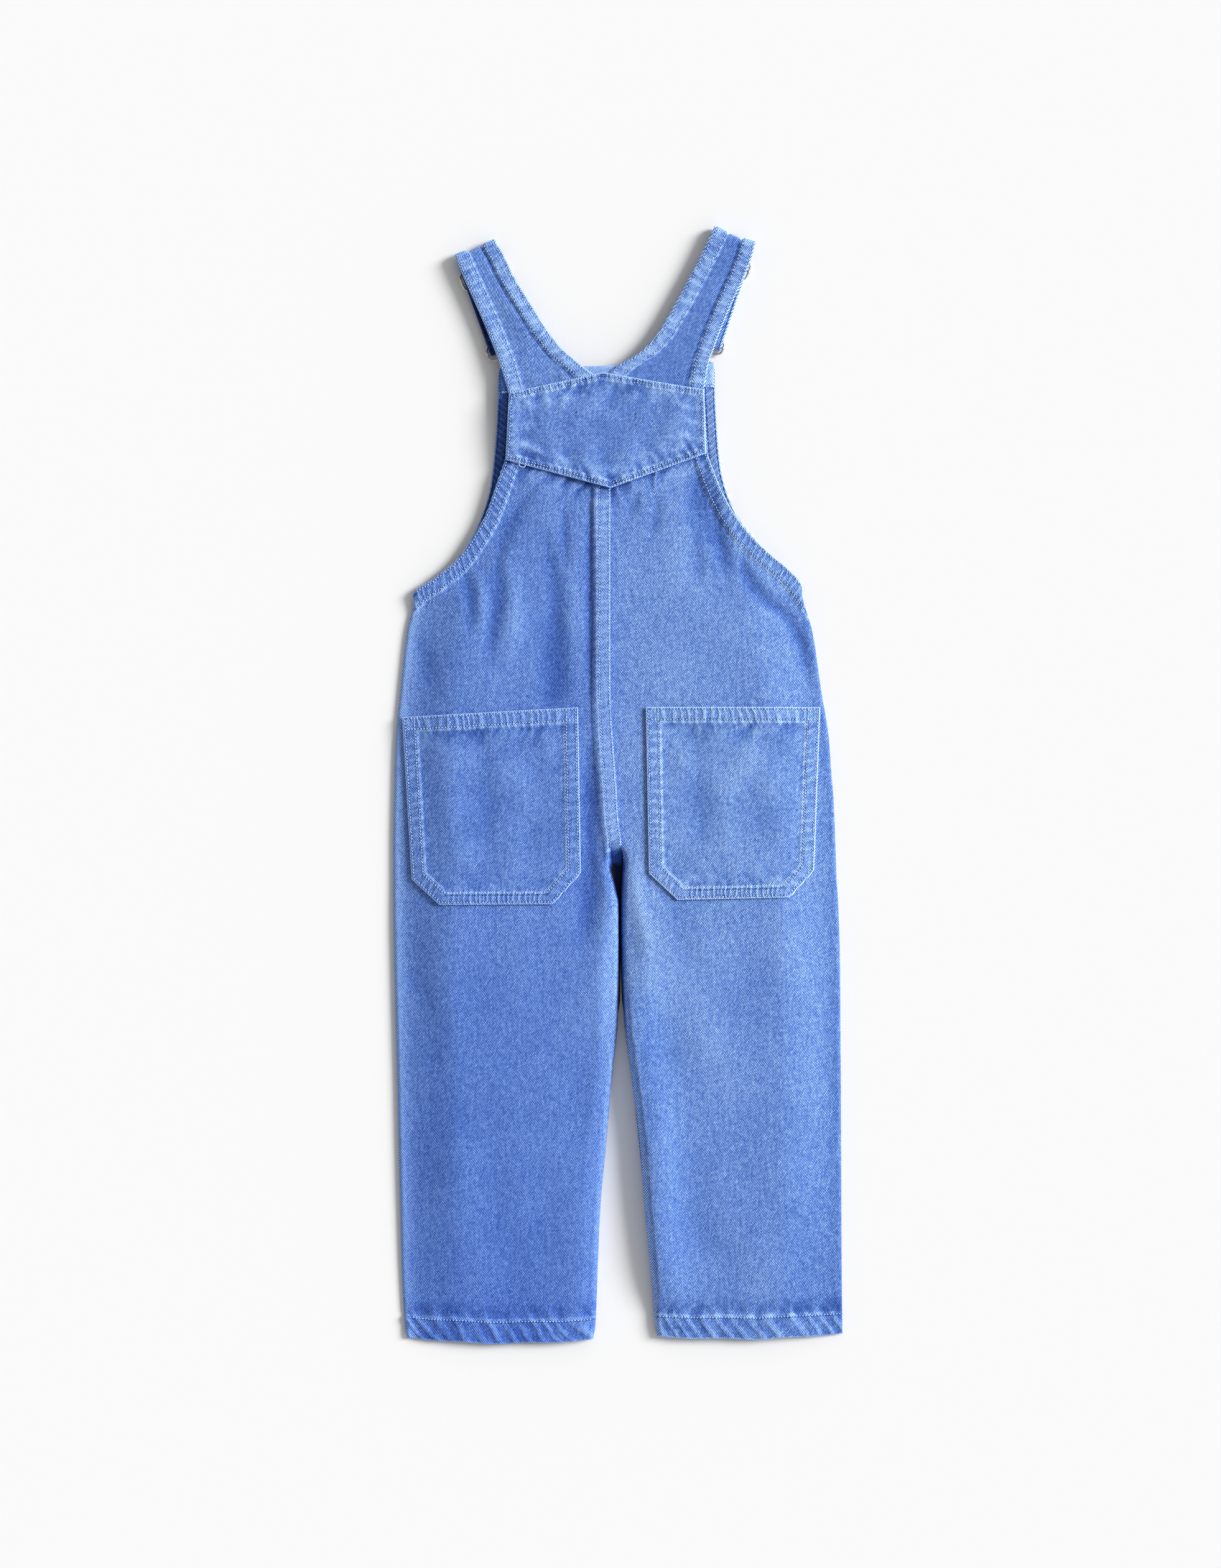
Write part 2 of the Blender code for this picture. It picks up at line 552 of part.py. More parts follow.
def button(name, strap):
    """Turned jeans button: a domed cap towards the surface and a stem up to the bib."""
    centre, _, down = axes(*strap["bar"])
    centre = centre + down * HOOK_BAR_TO_BUTTON
    r = BUTTON_RADIUS
    stem_top = BIB_LIFT - GAP
    profile = ((0.0, stem_top), (3.4, stem_top), (3.0, 2.4), (r - 1.2, 2.1), (r, 1.5), (r - 1.0, 0.7),
               (r - 3.5, 0.3), (0.0, 0.3))
    mesh = bpy.data.meshes.new(name)
    bm = bmesh.new()
    verts = [bm.verts.new((a * MM, 0, b * MM)) for a, b in profile]
    edges = [bm.edges.new(pair) for pair in zip(verts, verts[1:])]
    bmesh.ops.spin(bm, geom=verts + edges, cent=(0, 0, 0), axis=(0, 0, 1), angle=2 * math.pi,
                   steps=20, use_merge=True, use_duplicate=False)
    bmesh.ops.remove_doubles(bm, verts=bm.verts[:], dist=1e-6)
    bmesh.ops.recalc_face_normals(bm, faces=bm.faces[:])
    bm.to_mesh(mesh)
    bm.free()
    piece = place(name, mesh, METAL, 0.3, 1.0)
    piece.location = (centre[0] * MM, centre[1] * MM, 0)
    return piece


for old in list(bpy.data.objects):
    bpy.data.objects.remove(old)
home = bpy.data.collections.new("kids dungarees")
tools = bpy.data.collections.new("cutters")
for holder in (home, tools):
    bpy.context.scene.collection.children.link(holder)
lay = bpy.data.objects.new("lay", None)
lay.location = (-CENTRE[0] * MM, -CENTRE[1] * MM, 0)
home.objects.link(lay)

# Fronts, on the surface
front_shares = shares_for(145, (0, 6, 16), 3)
for name, table in (("front_left", FRONT_LEFT), ("front_right", FRONT_RIGHT)):
    rows = rows_between(named(FRONT_COLUMNS, table), FRONT_COLUMNS, 22.0)
    x, y = across(rows, FRONT_COLUMNS, front_shares)
    cloth(name, np.stack([x, y, front_height(y)], -1), CLOTH)

# Turned hem inside the bib's top
left_top, right_top = FRONT_LEFT[-1], FRONT_RIGHT[-1]
facing = []
for depth in (FACING_DEPTH, FACING_DEPTH * 0.66, FACING_DEPTH * 0.33, 0.3):
    line = []
    for x, top in ((left_top[0] + 0.4, left_top[1]), (-60, 290.4), (-33, 290.9), (-5, 291.2), (20, 292.4),
                   (45, 293.6), (right_top[0] - 0.4, right_top[1])):
        line.append((x, top - depth, front_height(top - depth) + LAYER))
    facing.append(line)
cloth("bib_facing", np.array(facing), CLOTH)

# Backs
back_shares = shares_for(152, (0, 2.5, 6, 12), 6)
cloth("back_left", back_grid(BACK_LEFT, "left", 15.0, back_shares[:-4] + [1 - 18 / 152, 1 - 14.5 / 152,
      1 - 11 / 152, 1 - 5.5 / 152, 1]), CLOTH)
cloth("back_right", back_grid(BACK_RIGHT, "right", 15.0, back_shares), CLOTH)

# Pockets, moved out from the backs
outward = np.array([0, 0.025, 0.05, 0.08, 0.13, 0.25, 0.4, 0.55, 0.7, 0.85, 1])
for name, table, back, side in (("pocket_left", POCKET_LEFT, BACK_LEFT, "left"),
                                ("pocket_right", POCKET_RIGHT, BACK_RIGHT, "right")):
    ends = named(EDGE_COLUMNS, table)
    levels = np.array([0, 0.5, 1, 1.2, 1.4, 1.6, 1.8, 2.0])
    rows = {key: np.interp(levels, np.arange(len(column)), column) for key, column in ends.items()}
    x, y = across(rows, EDGE_COLUMNS, outward if side == "left" else 1 - outward[::-1])
    z = height_on(back, side, x, y) + LAYER + POCKET_EASE
    cloth(name, np.stack([x, y, z], -1), CLOTH)

# Yoke, over the braces' ends and the backs' tops
ends = named(EDGE_COLUMNS, YOKE)
levels = np.linspace(0, 2, 13)
rows = {key: np.interp(levels, np.arange(len(column)), column) for key, column in ends.items()}
shares = np.array([0, 0.17, 0.35, 0.55, 0.75, 1.0])
x, y = across(rows, EDGE_COLUMNS, shares)
over_fell = LAYER * smooth((30 - np.abs(x + 10)) / 12) * (1 - smooth(shares / 0.6))
z = YOKE_BOTTOM_Z + (YOKE_TOP_Z - YOKE_BOTTOM_Z) * smooth(shares / 0.6)[None, :] + over_fell
cloth("yoke", np.stack([x, y, z], -1), CLOTH)

# Braces with their slider, hook and button
for side, table, fold, bar in (("left", STRAP_LEFT, FOLD_LEFT, BAR_LEFT),
                               ("right", STRAP_RIGHT, FOLD_RIGHT, BAR_RIGHT)):
    grid, strap = strap_grid(table, fold, bar, (0, 0.3, 0.7, 1))
    cloth(f"strap_{side}", grid, WEBBING)
    slider(f"slider_{side}", strap)
    hook(f"hook_{side}", strap)
    button(f"button_{side}", strap)
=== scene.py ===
"""Finish of the kids dungarees: washed twill denim, stitching and wire hardware, lying back up.

The cloth follows the same section tables as its solids, in millimetres, at a finer spacing.
"""
import math

import bmesh
import bpy
import numpy as np
from mathutils import Matrix, Vector


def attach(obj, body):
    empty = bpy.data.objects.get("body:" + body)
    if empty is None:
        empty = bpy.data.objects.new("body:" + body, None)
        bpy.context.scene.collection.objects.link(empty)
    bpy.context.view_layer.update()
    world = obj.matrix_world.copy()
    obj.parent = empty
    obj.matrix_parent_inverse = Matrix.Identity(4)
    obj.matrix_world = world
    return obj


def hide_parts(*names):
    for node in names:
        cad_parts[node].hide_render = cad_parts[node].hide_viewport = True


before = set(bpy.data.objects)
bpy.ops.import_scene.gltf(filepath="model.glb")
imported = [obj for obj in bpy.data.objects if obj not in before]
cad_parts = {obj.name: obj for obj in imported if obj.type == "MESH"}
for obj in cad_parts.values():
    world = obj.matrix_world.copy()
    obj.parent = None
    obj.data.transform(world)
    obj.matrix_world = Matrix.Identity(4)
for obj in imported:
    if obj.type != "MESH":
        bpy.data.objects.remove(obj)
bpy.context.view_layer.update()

MM = 0.001
CENTRE = (0.23, 1.73)
WEBBING = 1.2
GAP = 0.3
PROUD = 1.9            # how far the soft back stands above its solid at the body
LEG_PROUD = 3.4        # and along the legs
BIB_LIFT, BIB_LIFT_FROM, BIB_LIFT_OVER = 4.5, 222.0, 46.0
WIRE, BALL = 1.4, 2.7
SLIDER_SIZE = (34.0, 13.0)
BAR_HALF = SLIDER_SIZE[0] / 2
HOOK_BAR_TO_BUTTON = 27.0
LOOP_MID = WIRE / 2 + GAP + WEBBING / 2
FELL_WIDTH, FELL_ROWS = 11.5, (0.9, 7.8)
ARMHOLE_WIDTH, ARMHOLE_ROWS = 9.6, (1.6, 8.6)
LEG_HEM, LEG_ROPE, LEG_HEM_Y = 15.0, 10.5, -384
POCKET_ROWS, MOUTH_ROWS = (1.8, 8.4), (1.4, 8.8)
STRAP_HEM, FACING_DEPTH = 9.4, 17.5
YOKE_START, YOKE_WIDTH = -78, 139.5
NO_ROW = -9.0           # where a hem has no second row of stitches
FAR = 60.0              # counts as away from every hem
SKY_TOP, SKY_RING, SKY_LEAN = 0.07, 0.80, 0.58
KEY_AZIMUTH, KEY_ELEVATION, KEY_POWER, KEY_SPREAD = 18, 27, 4.14, 22
STITCH_LENGTH, STITCH_WIDTH = 1.45, 0.65
RIB_PITCH, PICK_PITCH = 1.04, 0.95
TURN = 2 * math.pi

BACK_COLUMNS = ("side_x", "side_y", "inner_x", "inner_y", "rise", "edge", "opened", "inner_roll")
BACK_LEFT = (
    (-146.5, -384, -17, -385, 2.4, 0, 1, 7),
    (-147.8, -375.5, -15.5, -375.5, 2.8, 0, 1, 8),
    (-150.2, -333, -13.8, -333, 3.2, 0, 1, 9),
    (-151.2, -293, -12, -293, 3.4, 0, 1, 9),
    (-152.2, -253, -8.3, -253, 3.4, 0, 1, 9),
    (-153.3, -203, -4, -203, 3.4, 0, 1, 9),
    (-154.4, -163, 0.2, -163, 3.6, 0, 1, 9),
    (-155.3, -123, 1, -123, 3.7, 0, 1, 8),
    (-156, -83, 0.9, -83, 3.8, 0, 1, 5),
    (-156, -63, 2, -63, 3.8, 0, 1, 9),
    (-156, -51, 3.2, -51, 3.8, 0, 0.7, 10),
    (-156, -39, 2.4, -39, 3.8, 0, 0, 8),
    (-155.8, -25, 0.5, -25, 3.8, 0, 0, 8),
    (-155.3, -3, -0.8, -3, 3.8, 0, 0, 8),
    (-154.5, 27, -3, 27, 3.7, 0, 0, 8),
    (-151, 67, -5, 62, 3.6, 0, 0, 8),
    (-146.5, 107, -5.2, 96, 3.6, 0, 0, 8),
    (-142.3, 126, -5.2, 112, 3.6, 0.05, 0, 8),
    (-142, 133, -5.2, 122, 3.6, 0.1, 0, 8),
    (-127, 144.5, -5.2, 136, 3.6, 0.2, 0, 8),
    (-112, 157, -5.2, 150, 3.6, 0.3, 0, 8),
    (-101, 172, -5.2, 165, 3.6, 0.4, 0, 8),
    (-92, 188, -5.2, 181, 3.6, 0.5, 0, 8),
    (-85, 207, -5.1, 197, 3.6, 0.7, 0, 8),
    (-77.5, 229, -5, 214.5, 3.6, 1, 0, 8),
)
BACK_RIGHT = (
    (156.5, -381.5, 27.5, -383, 2.4, 0, 1, 7),
    (156.3, -374, 26.3, -375.5, 2.8, 0, 1, 8),
    (155.9, -333, 22.5, -333, 3.2, 0, 1, 9),
    (155.7, -293, 18.8, -293, 3.4, 0, 1, 8),
    (155.5, -253, 15.7, -253, 3.5, 0, 1, 8),
    (155.3, -203, 9.5, -203, 3.6, 0, 1, 8),
    (155, -163, 4.4, -163, 3.7, 0, 1, 8),
    (154.7, -123, 2.6, -123, 3.8, 0, 1, 7),
    (153.5, -83, 2.2, -83, 3.8, 0, 1, 5),
    (152.3, -63, 2.9, -63, 3.8, 0, 1, 5),
    (151.9, -51, 3.8, -51, 3.8, 0, 0.7, 5),
    (151.4, -39, 1.2, -39, 3.8, 0, 0.1, 5),
    (151, -27, -2.4, -27, 3.8, 0, 0, 8),
    (150.4, -12, -8.2, -12, 3.8, 0, 0, 8),
    (148.9, 7, -9.3, 7, 3.8, 0, 0, 8),
    (146.8, 34, -11.6, 34, 3.7, 0, 0, 8),
    (141.5, 67, -13, 62, 3.6, 0, 0, 8),
    (135.5, 107, -13.2, 96, 3.6, 0, 0, 8),
    (128.6, 131, -13.2, 112, 3.6, 0.05, 0, 8),
    (127.6, 139.5, -13.2, 122, 3.6, 0.1, 0, 8),
    (118, 151, -13.2, 136, 3.6, 0.2, 0, 8),
    (107, 160, -13.2, 150, 3.6, 0.3, 0, 8),
    (93.5, 173, -13.2, 165, 3.6, 0.4, 0, 8),
    (83, 186, -13.2, 181, 3.6, 0.5, 0, 8),
    (73.5, 202, -13.1, 197, 3.6, 0.7, 0, 8),
    (61.5, 232, -13, 214.5, 3.6, 1, 0, 8),
)
# Creases: from, to, sideways bow at the middle, half width and height; a trough is negative.
CREASES_LEFT = (
    (-107, 150, -103, 106, 3, 3.6, -1.5),
    (-99, 150, -94, 112, 2, 3.4, 0.8),
    (-60, 205, -84, 152, -4, 4.2, -1.2),
    (-83, 156, -91, 88, 3, 4.6, -1.6),
    (-72, 150, -76, 84, 2, 6, 0.9),
    (-50, 172, -43, 100, 3, 5, -1.3),
    (-44, 120, -47, 50, 2, 8.5, -1.8),
    (-31, 160, -30, 60, 0, 4.5, 0.5),
    (-36, 196, -35, 150, -2, 3.6, -1),
    (-19.5, 196, -18.5, 62, 0, 3.2, -1.3),
    (-20, 30, -18.5, -56, 0, 4.5, -1.7),
    (-19, -50, -25, -112, 2, 6, -1.2),
    (-9.5, -70, -12, -190, 0, 5, 0.8),
    (-16, -110, -40, -210, 4, 12, 0.6),
    (-142, -130, -124, -210, 6, 9, -0.5),
    (-110, -180, -90, -260, -8, 14, -0.5),
    (-60, -230, -40, -320, 6, 12, 0.4),
    (-142, 104, -128, 62, 3, 5, -0.8),
)
CREASES_RIGHT = (
    (62, 226, 68, 186, 2, 4.5, -1.8),
    (69, 190, 77, 146, -2, 4.5, -2),
    (80, 180, 86, 150, 0, 3, 0.8),
    (84, 160, 118, 118, -6, 4.4, -2.3),
    (113, 122, 134, 72, 5, 4.6, -1.8),
    (54, 216, 64, 166, 1, 6, -1.4),
    (92, 150, 118, 108, -5, 5, 0.5),
    (38, 176, 40, 130, 1, 7, 0.4),
    (58, 222, 50, 190, 1, 6, -0.9),
    (52, 190, 56, 140, 1, 4.5, -0.9),
    (14, 207, 8, 186, 0, 3, -0.9),
    (26, 206, 24, 172, 2, 3.6, -0.9),
    (12, -48, 22, -116, -3, 5, 1.1),
    (20, -100, 62, -176, -7, 15, 0.8),
    (56, -160, 104, -224, -4, 16, 0.8),
    (36, -66, 56, -132, -5, 8, -0.7),
    (16, -140, 24, -250, 2, 8, -0.9),
    (90, -120, 122, -190, 8, 14, -0.6),
    (130, -120, 134, -230, 4, 9, 0.5),
    (60, -250, 75, -340, -6, 14, -0.5),
)
FRONT_COLUMNS = ("side_x", "side_y", "inner_x", "inner_y")
FRONT_LEFT = (
    (-146, -383, -17.5, -384),
    (-147.3, -375.5, -16, -375.5),
    (-150.7, -293, -12.5, -293),
    (-152.8, -203, -4.5, -203),
    (-154.5, -143, 0.5, -143),
    (-155.5, -83, 0.9, -83),
    (-155.5, -43, -1, -43),
    (-154.8, -3, -3, -3),
    (-154, 27, -5, 27),
    (-150.5, 67, -5.2, 67),
    (-146, 107, -5.2, 107),
    (-142, 126, -5.2, 124),
    (-141.5, 133, -5.2, 134),
    (-126, 145, -5.2, 148),
    (-111.5, 158, -5.2, 162),
    (-101, 173, -5.2, 176),
    (-93.5, 190, -5.2, 192),
    (-88.5, 207, -5.2, 207),
    (-86, 227, -5.2, 227),
    (-84.3, 249, -5.2, 249),
    (-83.3, 272, -5.2, 272),
    (-82.8, 287, -5.2, 288),
    (-81.5, 290, -5.2, 291.3),
)
FRONT_RIGHT = (
    (156, -380.5, 28, -382),
    (155.8, -374, 26.8, -374.5),
    (155.3, -293, 19.3, -293),
    (154.9, -203, 10, -203),
    (154.5, -143, 3.6, -143),
    (153, -83, 2.2, -83),
    (151, -43, -0.2, -43),
    (148.5, -3, -2.2, -3),
    (146.6, 34, -4.2, 30),
    (141, 67, -4.6, 67),
    (135, 107, -4.6, 107),
    (128.1, 131, -4.6, 124),
    (127, 139.5, -4.6, 134),
    (118, 150.5, -4.6, 148),
    (106, 160.5, -4.6, 162),
    (93.5, 174, -4.6, 176),
    (83, 188, -4.6, 192),
    (75.5, 205, -4.6, 207),
    (71.5, 222, -4.6, 227),
    (69, 249, -4.6, 249),
    (67.8, 272, -4.6, 272),
    (67.6, 291, -4.6, 288),
    (65, 294.6, -4.6, 291.3),
)
POCKET_LEFT = (
    (-123.8, -83, -45, -82.5),
    (-143.3, -65.3, -25.5, -61),
    (-150, 47.5, -27.5, 54.3),
)
POCKET_RIGHT = (
    (41.3, -79.5, 119.3, -77.8),
    (21.5, -61, 136.5, -59.3),
    (19.3, 54.5, 140.8, 54.5),
)
YOKE = (
    (-78, 226, -75.5, 272.3),
    (-5, 206.3, -10.3, 286.5),
    (61.5, 230.5, 60, 274.5),
)
STRAP_COLUMNS = ("outer_x", "outer_y", "inner_x", "inner_y", "z")
STRAP_LEFT = (
    (-71.5, 261, -13, 282, 8.3),
    (-75.5, 272.5, -26, 292, 8.3),
    (-81, 291, -39.8, 304, 8.2),
    (-85, 302, -49.5, 316.5, 7.7),
    (-93, 322, -61, 335, 7),
    (-101, 340, -71.8, 352.5, 6.8),
    (-109, 358, -80.5, 370.5, 6.8),
)
STRAP_RIGHT = (
    (57, 264, -8.5, 281.5, 8.3),
    (59.5, 274.5, -2, 289.5, 8.3),
    (63, 294, 14.5, 299.5, 8.2),
    (66, 302, 26.5, 311.5, 7.9),
    (69.5, 312, 33.5, 322.5, 7.4),
    (79, 335, 47.5, 348, 6.9),
    (87, 352, 56.5, 365, 6.8),
    (92.7, 367, 63.8, 380, 6.8),
)
FOLD_LEFT = (-113, 368.5, -85.5, 379.5)
FOLD_RIGHT = (95.8, 377.5, 67.5, 388.5)
BAR_LEFT = (-88.7, 300.8, 15.5)
BAR_RIGHT = (71.6, 304.8, 17)


# ---------------------------------------------------------------- curves and tables

def named(columns, rows):
    return {name: np.array([row[i] for row in rows], float) for i, name in enumerate(columns)}


def eased(knots, values, at):
    """Smooth curve through the values that never passes beyond two neighbours."""
    step = np.diff(knots)
    slope = np.diff(values) / step
    lean = np.zeros(len(values))
    lean[0], lean[-1] = slope[0], slope[-1]
    both = slope[:-1] * slope[1:]
    total = slope[:-1] + slope[1:]
    lean[1:-1] = np.where(both > 0, 2 * both / np.where(total == 0, 1, total), 0)
    i = np.clip(np.searchsorted(knots, at, side="right") - 1, 0, len(step) - 1)
    t = (at - knots[i]) / step[i]
    start = (1 + 2 * t) * (1 - t) ** 2 * values[i] + t * (1 - t) ** 2 * step[i] * lean[i]
    end = t * t * (3 - 2 * t) * values[i + 1] + t * t * (t - 1) * step[i] * lean[i + 1]
    return start + end


def smooth(t):
    t = np.clip(t, 0, 1)
    return t * t * (3 - 2 * t)


def ramp(value, start, stop):
    """Smooth step from 0 at start to 1 at stop, which may be the lower of the two."""
    return smooth((value - start) / (stop - start))


def bulge(t):
    """Quarter round from 0 to 1."""
    t = np.clip(t, 0, 1)
    return np.sqrt(np.maximum(0, 1 - (1 - t) ** 2))


def bell(value, wide):
    return np.exp(-((value / wide) ** 2))


def waves(x, y, seed, shortest, longest, count=14, stretch=1.0):
    """Soft uneven swell of about unit height, longer along y where stretch is over 1."""
    rng = np.random.RandomState(seed)
    z = np.zeros(np.broadcast(x, y).shape)
    for _ in range(count):
        length = math.exp(rng.uniform(math.log(shortest), math.log(longest)))
        turn, phase = rng.uniform(0, math.pi), rng.uniform(0, TURN)
        z += np.sin(TURN * (x * math.cos(turn) + y * math.sin(turn) / stretch) / length + phase)
    return z / math.sqrt(count / 2) * 0.6


LATTICE = np.random.RandomState(4).uniform(-1, 1, (256, 256))


def grain(a, b, seed=0):
    """Smooth random value from -1 to 1 that changes over about one unit of a and b."""
    a, b = np.broadcast_arrays(np.asarray(a, float) + seed * 17.31, np.asarray(b, float) + seed * 5.77)
    i, j = np.floor(a).astype(int), np.floor(b).astype(int)
    f, g = smooth(a - i), smooth(b - j)
    low = LATTICE[i % 256, j % 256] * (1 - f) + LATTICE[(i + 1) % 256, j % 256] * f
    high = LATTICE[i % 256, (j + 1) % 256] * (1 - f) + LATTICE[(i + 1) % 256, (j + 1) % 256] * f
    return low * (1 - g) + high * g


def roping(d, run, cell, lean, seed):
    """Place along a hem counted in ropes, unevenly spaced and leaning as the turned cloth twists."""
    along = run + lean * d + 0.6 * np.sin(0.45 * d)
    return along / cell + 0.75 * grain(along / (cell * 2.4), d / 30, seed)


def gathers(d, run, reach, seed, cell=4.6):
    """Narrow ridges that run off a seam into the cloth, with wider hollows between."""
    bend = 0.5 * grain(run / 11, d / 9, seed + 3)
    ridge = 1 - 2.6 * np.abs(grain((run + 0.45 * d) / cell + bend, d / 15, seed))
    return (ridge - 0.15) * bell(d, reach)


def dye_and_side_shade(x, y):
    """How washed out the dye is, with painted shade darkening the left half away from the key light: negative
    is deeper blue, down the left leg most of all.
    """
    right = smooth((x + 16) / 26)
    steps = (-385, -200, -50, 80, 210, 290, 380)
    deep = np.interp(y, steps, (-1.7, -1.3, -0.95, -0.9, -0.6, -0.2, -0.1))
    pale = np.interp(y, steps, (-0.3, 0.0, 0.25, 0.15, -0.05, -0.2, -0.1))
    return deep + (pale - deep) * right


def creases(x, y, table):
    z = np.zeros_like(x)
    for x0, y0, x1, y1, bow, half_width, height in table:
        dx, dy = x1 - x0, y1 - y0
        length = math.hypot(dx, dy)
        t = np.clip(((x - x0) * dx + (y - y0) * dy) / length ** 2, 0, 1)
        off = bow * np.sin(math.pi * t)
        cx, cy = x0 + t * dx - dy / length * off, y0 + t * dy + dx / length * off
        away = np.hypot(x - cx, y - cy)
        wide = half_width * (0.75 + 0.45 * np.sin(math.pi * t) + 0.12 * np.sin(9 * t + x0))
        z += height * bell(away, wide) * (0.25 + 0.75 * np.sin(math.pi * t) ** 0.8)
    return z


def chosen(where, new, old):
    return tuple(np.where(where, a, b) for a, b in zip(new, old))


def lengths(line):
    """How far along the line each of its points is."""
    return np.concatenate([[0], np.cumsum(np.linalg.norm(np.diff(line, axis=0), axis=1))])


def resampled(line, at):
    """Points on the line at these lengths along it."""
    run = lengths(line)
    return np.stack([np.interp(at, run, column) for column in line.T], 1)


def to_line(x, y, line):
    """Distance to a polyline and how far along it the nearest place is."""
    line = np.asarray(line, float)
    best = np.full(x.shape, 1e9)
    run = np.zeros(x.shape)
    start = 0.0
    for (ax, ay), (bx, by) in zip(line[:-1], line[1:]):
        dx, dy = bx - ax, by - ay
        length = math.hypot(dx, dy)
        if length == 0:
            continue
        t = np.clip(((x - ax) * dx + (y - ay) * dy) / length ** 2, 0, 1)
        away = np.hypot(x - ax - t * dx, y - ay - t * dy)
        nearer = away < best
        best = np.where(nearer, away, best)
        run = np.where(nearer, start + t * length, run)
        start += length
    return best, run


def inset_line(line, depth, towards, step=1.0):
    """The polyline resampled evenly and moved sideways by depth, to the side that towards lies on."""
    line = np.asarray(line, float)
    length = lengths(line)[-1]
    count = max(3, int(length / step))
    x, y = resampled(line, np.linspace(0, length, count)).T
    tx, ty = np.gradient(x), np.gradient(y)
    size = np.hypot(tx, ty)
    nx, ny = -ty / size, tx / size
    if nx[count // 2] * (towards[0] - x[count // 2]) + ny[count // 2] * (towards[1] - y[count // 2]) < 0:
        nx, ny = -nx, -ny
    return np.stack([x + nx * depth, y + ny * depth], 1)


class Panel:
    """A cloth part given by rows that run from its side edge to its inner edge."""

    def __init__(self, columns, table):
        self.table = named(columns, table)
        self.ends = columns[:4]
        ax, ay, bx, by = (self.table[name] for name in self.ends)
        self.knots = lengths(np.stack([ax + bx, ay + by], 1) / 2)
        self.length = self.knots[-1]

    def rows(self, v):
        return {name: eased(self.knots, column, v) for name, column in self.table.items()}

    def grid(self, v, u):
        """The panel's points at places v up its rows and shares u across them."""
        row = self.rows(v)
        ax, ay, bx, by = (row[name][:, None] for name in self.ends)
        return ax + (bx - ax) * u, ay + (by - ay) * u

    def line(self, low=0.0, count=400):
        """The side edge from a place up the rows to the top."""
        row = self.rows(np.linspace(low, self.length, count))
        return np.stack([row[self.ends[0]], row[self.ends[1]]], 1)

    def run_at(self, y):
        """How far up the rows the side edge reaches this height."""
        v = np.linspace(0, self.length, 2000)
        return float(np.interp(y, self.rows(v)[self.ends[1]], v))

    def locate(self, x, y):
        """Row position and share across of points inside the panel."""
        x, y = np.asarray(x, float), np.asarray(y, float)
        fine = np.linspace(0, self.length, 1500)
        row = self.rows(fine)
        ax, ay, bx, by = (row[name] for name in self.ends)
        u = np.full(x.shape, 0.5)
        v = np.zeros(x.shape)
        for _ in range(5):
            low, high = np.zeros(x.shape), np.full(x.shape, self.length)
            for _ in range(16):
                v = (low + high) / 2
                here = np.interp(v, fine, ay) * (1 - u) + np.interp(v, fine, by) * u
                high = np.where(here > y, v, high)
                low = np.where(here > y, low, v)
            start, stop = np.interp(v, fine, ax), np.interp(v, fine, bx)
            u = np.clip((x - start) / (stop - start), 0, 1)
        return v, u


# ---------------------------------------------------------------- heights

def bib_lift(y):
    """Top of the front cloth, which stands higher towards the bib's top."""
    return 1.2 + BIB_LIFT * smooth((y - BIB_LIFT_FROM) / BIB_LIFT_OVER)


def hem_step(d, width, height):
    """Turned hem: thicker up to its width, with a rounded outer edge."""
    return height * (1 - smooth((d - width + 0.8) / 1.6)) - 0.5 * (1 - bulge(d / 0.6))


BACKS_SEAM = np.array([(4, -52), (2.6, -39), (0.6, -25), (-0.8, -3), (-3, 27), (-5, 62), (-5.2, 96),
                       (-5.2, 190), (-5, 216)])
YOKE_LINE = [row[:2] for row in YOKE]


